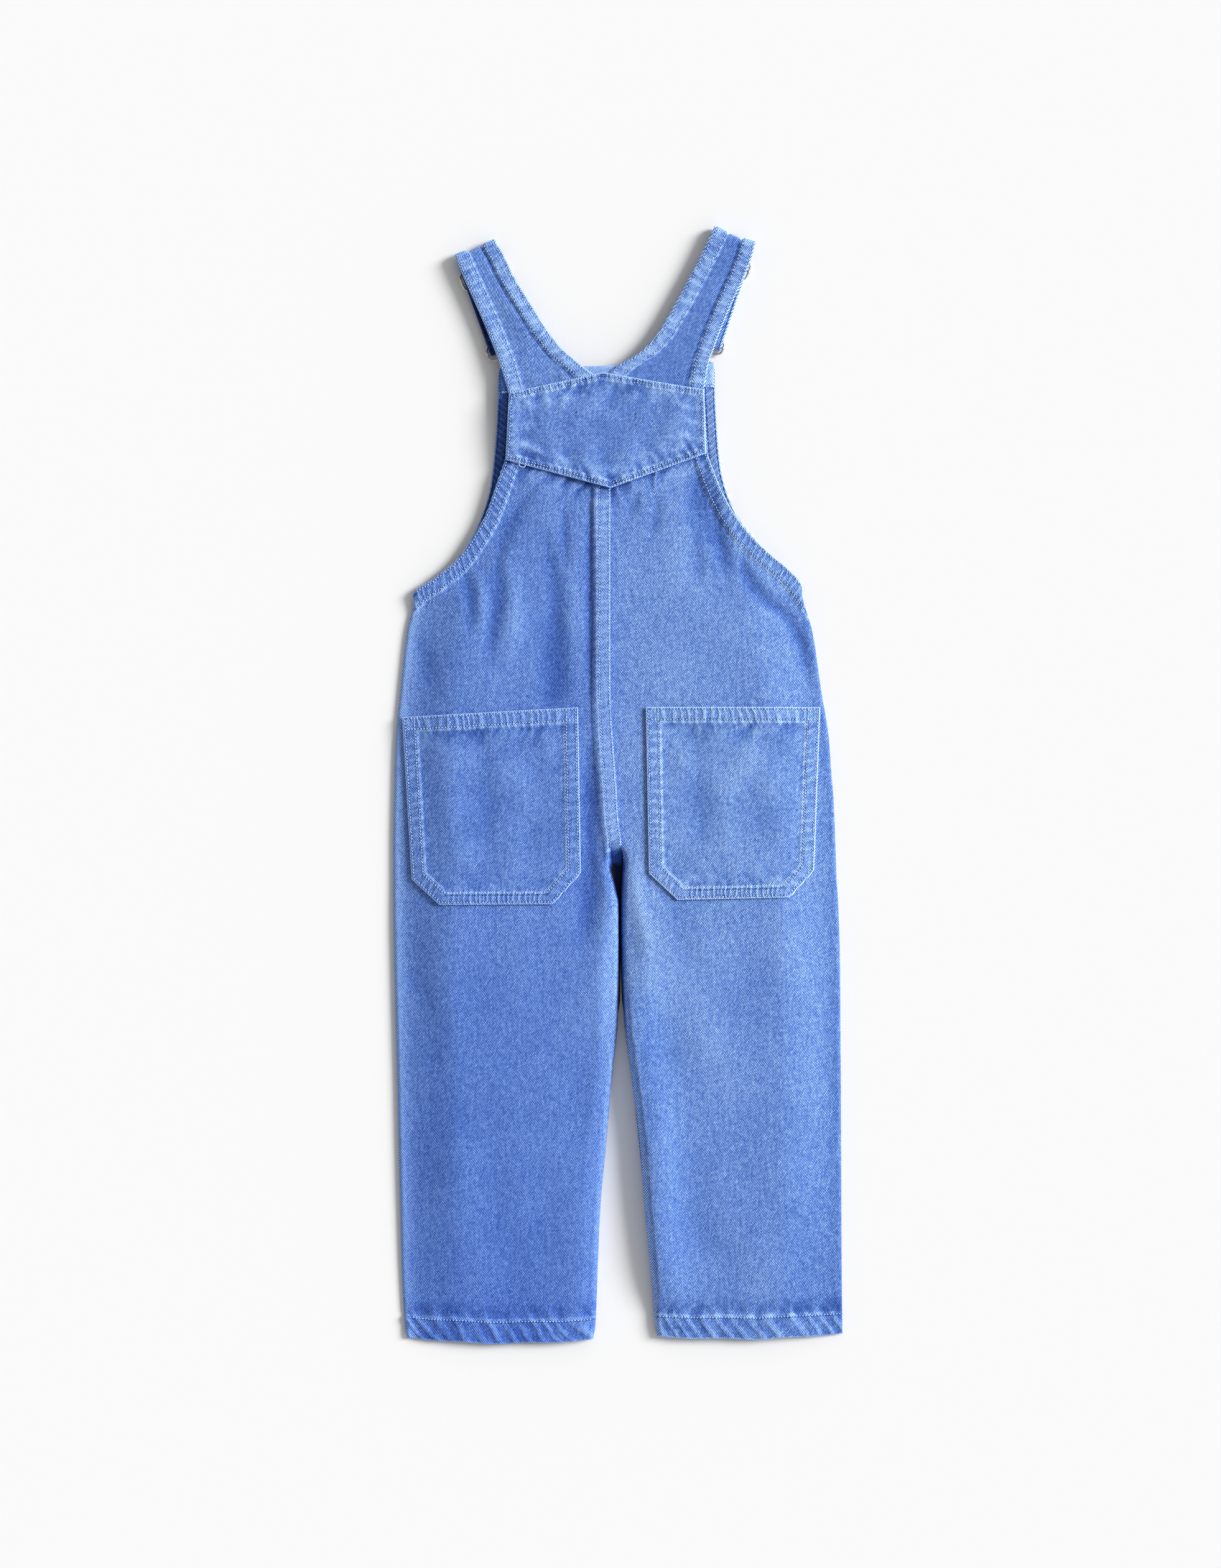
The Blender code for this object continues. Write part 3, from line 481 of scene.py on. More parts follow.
class Back(Panel):
    """One half of the back, from leg hem to yoke."""

    def __init__(self, table, side):
        super().__init__(BACK_COLUMNS, table)
        self.left = side == "left"
        self.armhole = self.line(self.run_at(134.5 if self.left else 141.5), 200)
        way = self.armhole[0] - self.armhole[6]
        beyond = self.armhole[0] + way / np.linalg.norm(way) * np.array([[40.0], [20.0]])
        self.armhole = np.concatenate([beyond, self.armhole])
        self.bottom = np.array([table[0][:2], table[0][2:4]], float)
        self.lean, self.seed = (0.6, 11) if self.left else (-0.6, 23)
        self.creases = CREASES_LEFT if self.left else CREASES_RIGHT

    def inside(self, line, margin=1.0):
        """The part of a line that lies inside the side edge."""
        side = self.line()
        past = (line[:, 0] - np.interp(line[:, 1], side[:, 1], side[:, 0])) * (1 if self.left else -1)
        return line[past > margin]

    def dip(self, x, y):
        """The hem's bottom line bows a little below its corners."""
        (ax, _), (bx, _) = self.bottom
        t = np.clip((x - ax) / (bx - ax), 0, 1)
        deep = 3.4 if self.left else 2.6
        bow = deep * np.sin(math.pi * t) ** 0.8 + 0.5 * np.sin(t * 17.0) * np.sin(math.pi * t)
        return y - bow * ramp(y, -340, -385)

    def height(self, x, y, v=None, u=None, with_wear_and_light=False):
        """Top of the cloth, and if asked also how pale wear has left its folds, ropes and seams, with painted
        light and shade on its edges, creases, crotch and beside the yoke.
        """
        if v is None:
            v, u = self.locate(x, y)
        row = self.rows(v)
        width = np.hypot(row["inner_x"] - row["side_x"], row["inner_y"] - row["side_y"])
        from_side, from_inner = u * width, (1 - u) * width
        hem = y - LEG_HEM_Y
        leg = ramp(y, -60, -110)
        proud = (PROUD + (LEG_PROUD - PROUD) * leg) * smooth(hem / 130) * (1 - 0.5 * ramp(y, 120, 210))
        top = 2.9 + row["rise"] + proud
        armhole = ramp(y, 122, 134)
        low = 1.35 + 1.6 * armhole
        side_share = 0.24 * bulge(from_side / 3) + 0.76 * smooth(from_side / 44)
        side_share = row["edge"] + (1 - row["edge"]) * side_share
        steep, slow = (0.80, 14.0) if self.left else (0.72, 20.0)
        inner_share = steep * bulge(from_inner / 3.6) + (1 - steep) * smooth(from_inner / slow)
        inner_share = inner_share * leg + bulge(from_inner / row["inner_roll"]) * (1 - leg)
        share = side_share * (1 - row["opened"] * (1 - inner_share))
        # the legs stand proud beside the gap between them, the right one most
        past = from_inner - 5.5
        lip = bell(past, np.where(past < 0, 5.0, 17.0)) * bulge(from_inner / 3)
        lift = 0.5 if self.left else 0.9 + 5.8 * ramp(y, -105, -185) * ramp(y, -392, -322)
        z = low + (top - low) * share + lift * lip * leg * smooth(hem / 40)
        fade = smooth(from_side / 12) * smooth(from_inner / 10)
        folds = creases(x, y, self.creases) * fade
        swell = waves(x, y, self.seed, 28, 95, stretch=1.6) * smooth(from_side / 20) * smooth(from_inner / 16)
        z = z + 0.75 * folds + 0.26 * swell * (0.5 + 0.5 * smooth(hem / 60))
        # crease ridges are paler from wear; their troughs are darker as painted shade
        wear_and_painted_light = (0.27 - 0.12 * ramp(y, -80, -120)) * np.clip(folds, -1.5, 1.3) + 0.04 * swell
        # painted light on the left side edge, which faces away from the key light, on the left leg's lit
        # inner edge and on the right leg's shaded inner wall; painted shade along the right side edge
        if self.left:
            wear_and_painted_light = wear_and_painted_light + (0.36 * bell(from_side, 9) + 0.3 * bell(from_side, 3.5)) * (1 - armhole)
            wear_and_painted_light = wear_and_painted_light + 0.16 * bell(from_inner, 16) * leg
        else:
            wear_and_painted_light = wear_and_painted_light - 0.16 * bell(from_side, 10) * (1 - armhole)
            wear_and_painted_light = wear_and_painted_light + (0.55 * bell(from_inner, 4) - 0.06) * leg * ramp(y, -110, -170)
        if self.left:
            d, run = to_line(x, y, BACKS_SEAM)
            fell = (1 - smooth((d - FELL_WIDTH) / 1.4)) * ramp(y, -58, -48)
            z = z + 1.35 * fell - 0.5 * (1 - bulge(d / 0.8)) * fell
            # the fell is paler from wear; the valley beside it gets painted shade
            wear_and_painted_light = wear_and_painted_light + 0.28 * fell * ramp(y, -60, -30) \
                - 0.14 * bell(d - FELL_WIDTH - 1.2, 1.3) * ramp(y, -40, -20)
            # past the fell's end the cloth drops into the open crotch, behind the leg's folded edge, and the
            # pit and its deepest part get painted shade
            fold = np.interp(y, (-81, -58.5, -44, -38), (-0.3, -6.4, -8.0, -9.0))
            pit = smooth((x - fold) / 2.2) * ramp(y, -38, -52) * ramp(y, -86, -79)
            z = z + (1.9 - z) * pit
            hole_shade = smooth((x - fold - 0.2) / 2.2) * ramp(y, -52.5, -58.5) * ramp(y, -87, -80)
            z = z + 0.9 * bell(x - fold + 5, 4) * ramp(y, -44, -56) * ramp(y, -130, -90)
            wear_and_painted_light = wear_and_painted_light - 0.95 * pit - 1.9 * hole_shade
        else:
            under = smooth((-x - 4.9) / 0.8) * ramp(y, -30, -18)
            z = z - 0.25 * under
            # painted shade on the right leg's inner edge just below the crotch
            wall = (1 - smooth(from_inner / 2.2)) * ramp(y, -50, -58) * ramp(y, -190, -150)
            wear_and_painted_light = wear_and_painted_light - 1.3 * wall
        # gathers below the yoke, their ridges paler from wear, and a painted shadow along the yoke's lower
        # edge
        d, run = to_line(x, y, YOKE_LINE)
        off = gathers(d, run, 13.0, 12 + self.seed) * ramp(y, 150, 180)
        z, wear_and_painted_light = z + 0.38 * off, wear_and_painted_light + 0.36 * off - 0.42 * bell(d, 1.8) * ramp(y, 190, 198)
        d, run = to_line(x, y, self.armhole)
        on = ramp(y, 118, 126)
        z = z + on * hem_step(d, ARMHOLE_WIDTH, 0.75)
        d, run = to_line(x, y, self.bottom)
        ridge = np.cos(TURN * roping(d, run, LEG_ROPE, self.lean, self.seed)) ** 3
        uneven = np.clip(0.5 + 0.9 * grain(run / 17, d / 9, 4 + self.seed), 0, 1.4)
        z = z + hem_step(d, LEG_HEM, 0.6) + 0.42 * uneven * ridge * np.clip(d / 3, 0, 1) * ramp(d, 27, 14)
        pucker = gathers(np.maximum(d - 13, 0), run, 11.0, 31 + self.seed, 8.5) * ramp(d, 30, 22)
        z, wear_and_painted_light = z + 0.35 * pucker, wear_and_painted_light + 0.30 * pucker * ramp(d, 12, 14)
        wear_and_painted_light = wear_and_painted_light - 0.20 * bell(d - 21, 5) - 0.02 * ramp(d, 14, 12)
        wear_and_painted_light = wear_and_painted_light + 0.16 * grain(run / 6, d / 5, 9 + self.seed) * ramp(d, 15, 13)
        return (z, wear_and_painted_light) if with_wear_and_light else z

    def marks(self, x, y):
        """The kind of hem at each place, as marked reads it."""
        d, run = to_line(x, y, self.armhole)
        d = np.where(y > 112, d, FAR)
        kind = (d, roping(d, run, 5.2, 0.5, self.seed), ARMHOLE_WIDTH, *ARMHOLE_ROWS, 0.48)
        d, run = to_line(x, y, self.bottom)
        place = roping(d, run, LEG_ROPE, self.lean, self.seed) + 90
        kind = chosen(d < kind[0], (d, place, LEG_HEM, NO_ROW, 13.8, 0.55), kind)
        if self.left:
            d, run = to_line(x, y, BACKS_SEAM)
            fell = (d < kind[0]) & (d < 20) & (y > -60)
            kind = chosen(fell, (d, roping(d, run, 6.0, 0.3, 3) + 200, FELL_WIDTH, *FELL_ROWS, 0.35), kind)
        return kind


class Patch:
    """A patch with straight edges, each with its own hem.

    A hem is its width, its two stitch rows, and its ropes' spacing, lean and strength.
    """

    def __init__(self, corners, hem):
        self.corners, self.hem = np.array(corners, float), hem

    def lines(self):
        return [(np.array(ends), kind) for *ends, kind in zip(self.corners[:-1], self.corners[1:], self.hem)]

    def marks(self, x, y):
        """The kind of the nearest hem, as marked reads it, roping less where two hems meet."""
        kind = (np.full(x.shape, FAR), 0.0, 4.0, 1.5, NO_ROW, 1.0)
        other, start = np.full(x.shape, 90.0), 0.0
        for line, (width, first, second, cell, lean, roped) in self.lines():
            away, along = to_line(x, y, line)
            near = away < kind[0]
            other = np.where(near, kind[0], np.minimum(other, away))
            place = start + roping(away, along, cell, lean, int(start))
            kind = chosen(near, (away, place, width, first, second, roped), kind)
            start += math.dist(*line) / cell
        *kind, roped = kind
        return (*kind, roped * smooth((other - kind[0] - 1) / 4))


# ---------------------------------------------------------------- meshes

def placed(data):
    piece = bpy.data.objects.new(data.name, data)
    bpy.context.scene.collection.objects.link(piece)
    return piece


def adopt(piece, material, slot, *nodes):
    piece.data.materials.clear()
    piece.data.materials.append(material)
    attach(piece, "root")
    if nodes:
        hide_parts(*nodes)
    return piece


def cloth(name, points, wall, marks, material, flip=False, offset=-1.0):
    """A denim shell from a grid of points in mm, its outer face on the grid when offset is -1."""
    points = np.asarray(points, float).copy()
    rows, columns = points.shape[:2]
    points[..., :2] -= CENTRE
    index = np.arange(rows * columns).reshape(rows, columns)
    quads = np.stack([index[:-1, :-1], index[:-1, 1:], index[1:, 1:], index[1:, :-1]], -1).reshape(-1, 4)
    if flip:
        quads = quads[:, ::-1]
    mesh = bpy.data.meshes.new(f"{name}_cloth")
    mesh.vertices.add(rows * columns)
    mesh.vertices.foreach_set("co", (points.reshape(-1) * MM).astype(np.float32))
    mesh.loops.add(quads.size)
    mesh.loops.foreach_set("vertex_index", quads.reshape(-1).astype(np.int32))
    mesh.polygons.add(len(quads))
    mesh.polygons.foreach_set("loop_start", (np.arange(len(quads)) * 4).astype(np.int32))
    mesh.update(calc_edges=True)
    mesh.validate()
    mesh.shade_smooth()
    for key, values in marks.items():
        layer = mesh.attributes.new(key, "FLOAT_VECTOR", "POINT")
        layer.data.foreach_set("vector", np.asarray(values, np.float32).reshape(-1))
    piece = placed(mesh)
    shell = piece.modifiers.new("wall", "SOLIDIFY")
    shell.thickness = wall * MM
    shell.offset = offset
    return adopt(piece, material, "denim", name)


def columns_for(width, edge, spacing=2.0):
    """Shares across a width, close together at both edges."""
    low = [step / width for step in edge]
    high = [1 - step for step in reversed(low)]
    inside = max(2, int((high[0] - low[-1]) * width / spacing))
    return np.array(low + list(np.linspace(low[-1], high[0], inside + 1)[1:-1]) + high)


def rows_for(length, spacing=2.0, low=(0, 0.35, 0.8, 1.5, 2.6), high=(0, 0.35, 0.8, 1.5, 2.6)):
    """Places along a length, close together at both ends."""
    inside = max(2, int((length - low[-1] - high[-1]) / spacing))
    middle = list(np.linspace(low[-1], length - high[-1], inside + 1)[1:-1])
    return np.array(list(low) + middle + [length - h for h in reversed(high)])


def marked(x, y, tone, kind, wear_and_painted_light):
    """Per-vertex marks that the denim material reads, all in mm and shares.

    The kind of hem is the distance to its edge, the place counted in ropes, its width, its two
    stitch rows and how strongly it ropes. The last argument is how pale wear has left the cloth,
    with painted light and shade added in.
    """
    d, place, width, first, second, roped = kind
    sets = {"weave": (x, y, tone), "hem": (d, place, width), "rows": (first, second, wear_and_painted_light),
            "ropes": (roped, 0, 0)}
    return {key: np.stack([part + np.zeros(x.shape) for part in parts], -1) for key, parts in sets.items()}


# ---------------------------------------------------------------- materials

class Wire:
    """A node's output, which adds, subtracts and multiplies through math nodes."""

    def __init__(self, tree, socket):
        self.tree, self.socket = tree, socket

    def __add__(self, other):
        return self.tree.math("ADD", self, other)

    def __sub__(self, other):
        return self.tree.math("SUBTRACT", self, other)

    def __mul__(self, other):
        return self.tree.math("MULTIPLY", self, other)


class Tree:
    """Short calls for building the nodes of a material or a world."""

    def __init__(self, owner, shader="Principled BSDF"):
        owner.use_nodes = True
        self.owner = owner
        self.nodes, self.links = owner.node_tree.nodes, owner.node_tree.links
        self.shader = self.nodes[shader]

    def feed(self, socket, value):
        if isinstance(value, Wire):
            self.links.new(value.socket, socket)
        elif value is not None:
            socket.default_value = value

    def node(self, kind, *values, out=0, **settings):
        node = self.nodes.new("ShaderNode" + kind)
        for key, value in settings.items():
            setattr(node, key, value)
        for socket, value in zip(node.inputs, values):
            self.feed(socket, value)
        return Wire(self, node.outputs[out])

    def math(self, operation, *values):
        return self.node("Math", *values, operation=operation)

    def span(self, value, low, high, to_low=0.0, to_high=1.0, soft=True):
        kind = "SMOOTHSTEP" if soft else "LINEAR"
        return self.node("MapRange", value, low, high, to_low, to_high, interpolation_type=kind)

    def mix(self, a, b, share, blend="MIX"):
        other_kinds = [None] * 5
        return self.node("Mix", share, *other_kinds, a, b, out=2, data_type="RGBA", blend_type=blend)

    def noise(self, vector, scale=1.0, detail=2.0, roughness=0.5):
        return self.node("TexNoise", vector, None, scale, detail, roughness)

    def split(self, vector):
        node = self.nodes.new("ShaderNodeSeparateXYZ")
        self.feed(node.inputs[0], vector)
        return [Wire(self, output) for output in node.outputs]

    def join(self, *parts):
        return self.node("CombineXYZ", *parts)

    def done(self, inputs):
        for key, value in inputs.items():
            self.feed(self.shader.inputs[key], value)
        return self.owner


def denim(name, angle=58.0, tone=1.0, offset=0.0, edging=0.7):
    """Washed twill: pale weft between blue diagonal ribs, mottled by washing, worn along hems and folds, and
    carrying the painted light and shade given in its marks.
    """
    t = Tree(bpy.data.materials.new(name))
    (x, y, dye_and_shade_tone), (d, place, width), (first, second, wear_and_painted_light), (roped, _, _) = (
        t.split(t.node("Attribute", out="Vector", attribute_name=key))
        for key in ("weave", "hem", "rows", "ropes"))

    def mottle(a, b, shift, detail, roughness=0.5):
        return t.noise(t.join(a, b, offset + shift), 1.0, detail, roughness)

    c, s = math.cos(math.radians(angle)), math.sin(math.radians(angle))
    across, along = y * c - x * s, x * c + y * s
    phase = across * (TURN / RIB_PITCH) + mottle(across * 0.13, along * 0.05, 0, 2.0) * 2.6
    pick = t.math("SINE", along * (TURN / PICK_PITCH) + phase * 0.5)
    rib = t.math("SINE", phase) + pick * 0.16
    slub = mottle(across * 1.1, along * 0.33, 7, 3.0) - 0.5
    speck = mottle(x * 1.9, y * 1.5, 3, 2.0, 0.7) - 0.5
    twill = rib * 0.20 + 0.50 + slub * 1.5 + speck * 2.1
    cloud = mottle(x * 0.035, y * 0.022, 0, 3.0, 0.55) - 0.5
    fleck = mottle(x * 0.26, y * 0.15, 5, 3.0, 0.65) - 0.5
    streak = mottle(x * 0.55, y * 0.05, 9, 2.0) - 0.5
    # ropes across the hem, its cut edge, the ridge outside its inner row, and the rows' own grooves
    bar = t.span(t.math("COSINE", place * TURN), -0.35, 1.0)
    strength = t.noise(t.join(place * 0.9, d * 0.11 + offset))
    rope = bar * (strength * 2.4 - 0.1) - 0.40
    past = d - width
    band = t.span(past, -0.8, 0.8, 1.0, 0.45) * t.span(past, 0.5, width * 0.9 - 1.0, 1.0, 0.0)
    ropes = band * roped * t.span(d, 0.0, 1.2, 0.2, 1.0) * rope
    edge = t.span(d, 0.35, 1.1, 1.0, 0.0)
    ridge = t.span(t.math("ABSOLUTE", d - (second + 1.5)), 0.3, 1.6, 1.0, 0.0)
    ridge = ridge * t.math("GREATER_THAN", second, 0.0)
    from_rows = (t.math("ABSOLUTE", d - row) for row in (first, second))
    groove = t.math("MAXIMUM", *(t.span(away, 0.2, 0.8, 1.0, 0.0) for away in from_rows))
    share = twill + cloud * 0.20 + fleck * 0.62 + streak * 0.4 + ropes * 0.56 + edge * edging
    share = share + ridge * (rope * 0.25 + 0.34) - groove * 0.30 + wear_and_painted_light
    deep = t.mix((0.005, 0.010, 0.035, 1), (0.024, 0.078, 0.345, 1), t.span(share, -1.3, -0.2, soft=False))
    low = t.mix(deep, (0.108, 0.227, 0.632, 1), t.span(share, -0.1, 0.5, soft=False))
    colour = t.mix(low, (0.385, 0.595, 0.990, 1), t.span(share, 0.5, 1.25, soft=False))
    tint = t.join(*(dye_and_shade_tone * (gain * tone) + tone for gain in (0.27, 0.215, 0.08)))
    thrown = t.span(rib, -0.62, 0.62, -1.0, 1.0, soft=False)
    weft = t.join(*(thrown * gain + 1.0 for gain in (0.90, 0.80, 0.42)))
    relief = twill * 0.12 + ropes * 0.55 + ridge * 0.22 - groove * 0.36 + fleck * 0.3
    bump = t.nodes.new("ShaderNodeBump")
    bump.inputs["Strength"].default_value = 1.0
    bump.inputs["Distance"].default_value = MM
    t.feed(bump.inputs["Height"], relief)
    return t.done({
        "Base Color": t.mix(t.mix(colour, tint, 1.0, "MULTIPLY"), weft, 1.0, "MULTIPLY"),
        "Roughness": t.span(share, 0.0, 1.0, 0.82, 0.95, soft=False), "Specular IOR Level": 0.2,
        "Sheen Weight": 0.06, "Sheen Roughness": 0.4, "Sheen Tint": (0.75, 0.85, 1.0, 1),
        "Normal": Wire(t, bump.outputs[0])})


def speckled(name, low, high, scale, detail, colours, rough, metallic=0.0):
    """Thread or metal between two colours, with colours and rough as the spans of its noise."""
    t = Tree(bpy.data.materials.new(name))
    speck = t.noise(t.node("TexCoord", out="Object"), scale, detail, 0.6)
    return t.done({"Base Color": t.mix(low, high, t.span(speck, *colours)), "Metallic": metallic,
                   "Roughness": t.span(speck, *rough)})


# ---------------------------------------------------------------- stitches

def stitch_shape():
    """One lockstitch along X: a plump thread that dives at both ends."""
    rings = ((-0.5, 0.30, -0.55), (-0.36, 0.85, 0), (0, 1, 0.12), (0.36, 0.85, 0), (0.5, 0.30, -0.55))
    sides = 6
    turns = [TURN * k / sides for k in range(sides)]
    points = [(along * STITCH_LENGTH, math.cos(a) * size * STITCH_WIDTH / 2,
               math.sin(a) * size * STITCH_WIDTH / 2 + lift * STITCH_WIDTH)
              for along, size, lift in rings for a in turns]
    faces = []
    for r in range(len(rings) - 1):
        for k in range(sides):
            a, b = r * sides + k, r * sides + (k + 1) % sides
            faces.append((a, b, b + sides, a + sides))
    faces.append(tuple(range(sides))[::-1])
    faces.append(tuple(range(len(points) - sides, len(points))))
    return np.array(points), faces


def along_path(path, pitch, skip):
    """Evenly spaced places and directions on a 3D path."""
    path = np.asarray(path, float)
    length = lengths(path)[-1]
    count = int((length - 2 * skip) / pitch)
    if count < 1:
        return np.zeros((0, 3)), np.zeros((0, 3))
    at = np.linspace(skip + pitch / 2, length - skip - pitch / 2, count)
    place, ahead, behind = (resampled(path, at + reach) for reach in (0, 0.8, -0.8))
    way = ahead - behind
    return place, way / np.linalg.norm(way, axis=1)[:, None]


def stitches(name, paths, material, seed, pitch=2.15, skip=1.2):
    """One mesh of all stitches along the paths, each on the cloth and slightly uneven."""
    rng = np.random.RandomState(seed)
    shape, faces = stitch_shape()
    verts, polys = [], []
    for path in paths:
        for p, w in zip(*along_path(path, pitch, skip)):
            turn = math.radians(rng.normal(0, 3.0))
            flat = np.array([w[0], w[1], 0]) / max(1e-6, math.hypot(w[0], w[1]))
            side = np.array([-flat[1], flat[0], 0])
            ahead = w * math.cos(turn) + side * math.sin(turn)
            left = np.cross([0, 0, 1], ahead)
            left /= np.linalg.norm(left)
            up = np.cross(ahead, left)
            size = rng.normal(1.0, 0.05)
            start = len(verts) * len(shape)
            base = p + up * (0.10 + rng.normal(0, 0.02)) + left * rng.normal(0, 0.05)
            verts.append(base + shape[:, :1] * size * ahead + shape[:, 1:2] * left + shape[:, 2:] * up)
            polys += [tuple(start + i for i in face) for face in faces]
    points = np.concatenate(verts)
    points[:, :2] -= CENTRE
    mesh = bpy.data.meshes.new(f"stitches_{name}")
    mesh.from_pydata((points * MM).tolist(), [], polys)
    mesh.shade_smooth()
    return adopt(placed(mesh), material, "denim")


def lifted(line, top):
    x, y = line[:, 0], line[:, 1]
    return np.stack([x, y, top(x, y)], 1)


# ---------------------------------------------------------------- pieces

METAL = speckled("nickel", (0.52, 0.50, 0.47, 1), (0.80, 0.77, 0.73, 1), 420.0, 3.0,
                 (0.35, 0.65), (0.3, 0.7, 0.14, 0.28), 1.0)
THREAD, DARK_THREAD = (
    speckled(*colours, 900.0, 2.0, (0.35, 0.62), (0.2, 0.8, 0.6, 0.8)) for colours in (
        ("thread", (0.34, 0.52, 0.90, 1), (0.56, 0.75, 0.98, 1)),
        ("dark_thread", (0.02, 0.04, 0.14, 1), (0.04, 0.08, 0.24, 1))))
DENIM_BODY = {"left": denim("denim_body"), "right": denim("denim_body_right", offset=31.0)}
DENIM_POCKET = denim("denim_pocket", angle=54.0, offset=53.0, edging=1.5)
DENIM_YOKE = denim("denim_yoke", angle=51.0, offset=71.0, edging=1.5)
DENIM_STRAPS = {"left": denim("denim_strap", angle=48.0, offset=97.0, edging=0.4),
                "right": denim("denim_strap_right", angle=67.0, offset=91.0, edging=0.4)}
DENIM_INSIDE = denim("denim_inside", angle=118.0, tone=0.9, offset=13.0)

backs = {"left": Back(BACK_LEFT, "left"), "right": Back(BACK_RIGHT, "right")}
for side, back in backs.items():
    left = side == "left"
    v = rows_for(back.length)
    u = columns_for(156.0, (0, 0.35, 0.8, 1.5, 2.3, 3.1, 3.9, 4.8, 5.7, 6.6, 7.5, 8.4, 9.4, 10.6, 12.0))
    x, y = back.grid(v, u)
    v, u = np.broadcast_arrays(v[:, None], u[None, :])
    z, wear_and_painted_light = back.height(x, y, v, u, with_wear_and_light=True)
    points = np.stack([x, back.dip(x, y), z], -1)
    marks = marked(x, y, dye_and_side_shade(x, y), back.marks(x, y), wear_and_painted_light)
    piece = cloth(f"back_{side}", points, 1.0, marks, DENIM_BODY[side], flip=not left)
    paths = [lifted(back.inside(inset_line(back.armhole, depth, (-60 if left else 60, 150))), back.height)
             for depth in ARMHOLE_ROWS]
    bottom = lifted(inset_line(back.bottom, 14.2, (0, 0)), back.height)
    bottom[:, 1] = back.dip(bottom[:, 0], bottom[:, 1])
    paths.append(bottom)
    for depth in FELL_ROWS if left else ():
        line = inset_line(BACKS_SEAM[::-1], depth, (-60, 100))
        paths.append(lifted(line[line[:, 1] > -44], back.height))
    made = stitches(f"back_{side}", paths, THREAD, 5 if left else 6)

# Fronts
for side, table in (("left", FRONT_LEFT), ("right", FRONT_RIGHT)):
    left = side == "left"
    panel = Panel(FRONT_COLUMNS, table)
    v = rows_for(panel.length, 5.0, (0, 0.6, 1.5, 3), (0, 0.4, 1.0, 2.0))
    u = columns_for(150.0, (0, 0.5, 1.2, 2.5, 5), 6.0)
    x, y = panel.grid(v, u)
    d, run = to_line(x, y, panel.line(panel.run_at(128.0)))
    on = ramp(y, 118, 126)
    z = bib_lift(y) + on * hem_step(d, 8.0, 0.35) * 0.8 + (1 - on) * -0.5 * (1 - bulge(d / 2.0))
    kind = (np.where(y > 116, d, FAR), (run + 0.6 * d) / 4.4, 8.0, 1.6, 7.2, 0.6)
    inside = ramp(y, 110, 160)
    # the front's inside near the armholes: painted shade on the left, where the back and yoke shadow it, and
    # painted light on the lit right side
    shade = dye_and_side_shade(x, y) - (0.7 if left else 0.0) * inside
    wear_and_painted_light = -0.1 + (-0.20 if left else 0.35) * inside
    # the two legs' undersides touch just below the crotch, in deep shade that is painted into their colour
    touch = ramp(y, -40, -52) * ramp(y, -166, -150) * smooth((u[None, :] - 0.93) / 0.05)
    x = x + (1.2 if left else -0.9) * touch
    points = np.stack([x, y, z], -1)
    marks = marked(x, y, shade, kind, wear_and_painted_light - 2.2 * touch)
    piece = cloth(f"front_{side}", points, 1.1, marks, DENIM_INSIDE, flip=not left)

# Turned hem inside the bib's top
top_x = np.array([-82.2, -60, -33, -5, 20, 45, 66.8])
top_y = np.array([289.9, 290.6, 291.2, 291.6, 292.7, 293.8, 294.2])
depth = np.array([FACING_DEPTH, 17.2, 16.6, 15.5, 13.5, 11, 8, 5, 3, 1.6, 0.8, 0.3, 0])[:, None]
xs = np.linspace(top_x[0], top_x[-1], 90)
x = xs + 0 * depth
y = np.interp(xs, top_x, top_y) - depth
from_left = x - xs[0]
from_end = np.minimum(from_left, xs[-1] - x)
z = bib_lift(y) + 1.45 - 0.8 * (1 - bulge(depth / 1.2)) - 0.35 * (1 - bulge(FACING_DEPTH - depth)) \
    - 0.6 * (1 - bulge(from_end / 1.5)) + 0.12 * np.sin(x / 2.3 + depth * 0.5)
points = np.stack([x, y, z], -1)
kind = (FACING_DEPTH - depth, x / 4.4, 3.0, 1.3, NO_ROW, 0.3)
# painted shade fading in towards the facing's left end, away from the key light
marks = marked(x, y, dye_and_side_shade(x, y) + 0.3, kind, 0.38 - 0.7 * (1 - smooth(from_left / 24)))
piece = cloth("bib_facing", points, 0.9, marks, DENIM_BODY["left"])
made = stitches("bib", [points[2]], THREAD, 8)

# Pockets
POCKET_CREASES = {
    "left": ((-96, 36, -90, -40, 3, 6.0, -0.6), (-66, 30, -70, -50, 2, 7.0, 0.4),
             (-118, 30, -116, -20, 2, 6.0, 0.3)),
    "right": ((96, 38, 74, -10, 3, 7.0, 0.7), (75, -4, 84, -62, -3, 7.0, 0.5),
              (52, 36, 58, -40, 2, 6.0, -0.6), (92, 4, 100, -50, 2, 7.0, -0.4)),
}


def patch_grid(table, knots, v, u):
    """A patch's grid between its left and right edges, which the table gives row by row."""
    ax, ay, bx, by = (np.interp(v, knots, column)[:, None] for column in zip(*table))
    return ax + (bx - ax) * u, ay + (by - ay) * u


def mitred(outline, depth, centre):
    """The outline moved inwards by depth with sharp corners, as points 1 mm apart."""
    way = np.diff(outline, axis=0)
    way /= np.linalg.norm(way, axis=1)[:, None]
    normal = np.stack([-way[:, 1], way[:, 0]], 1)
    normal *= np.sign(((centre - outline[:-1]) * normal).sum(1))[:, None]
    half = normal[:-1] + normal[1:]
    half /= (half * normal[:-1]).sum(1)[:, None]
    line = outline + depth * np.concatenate([normal[:1], half, normal[-1:]])
    return resampled(line, np.arange(0, lengths(line)[-1], 1.0))


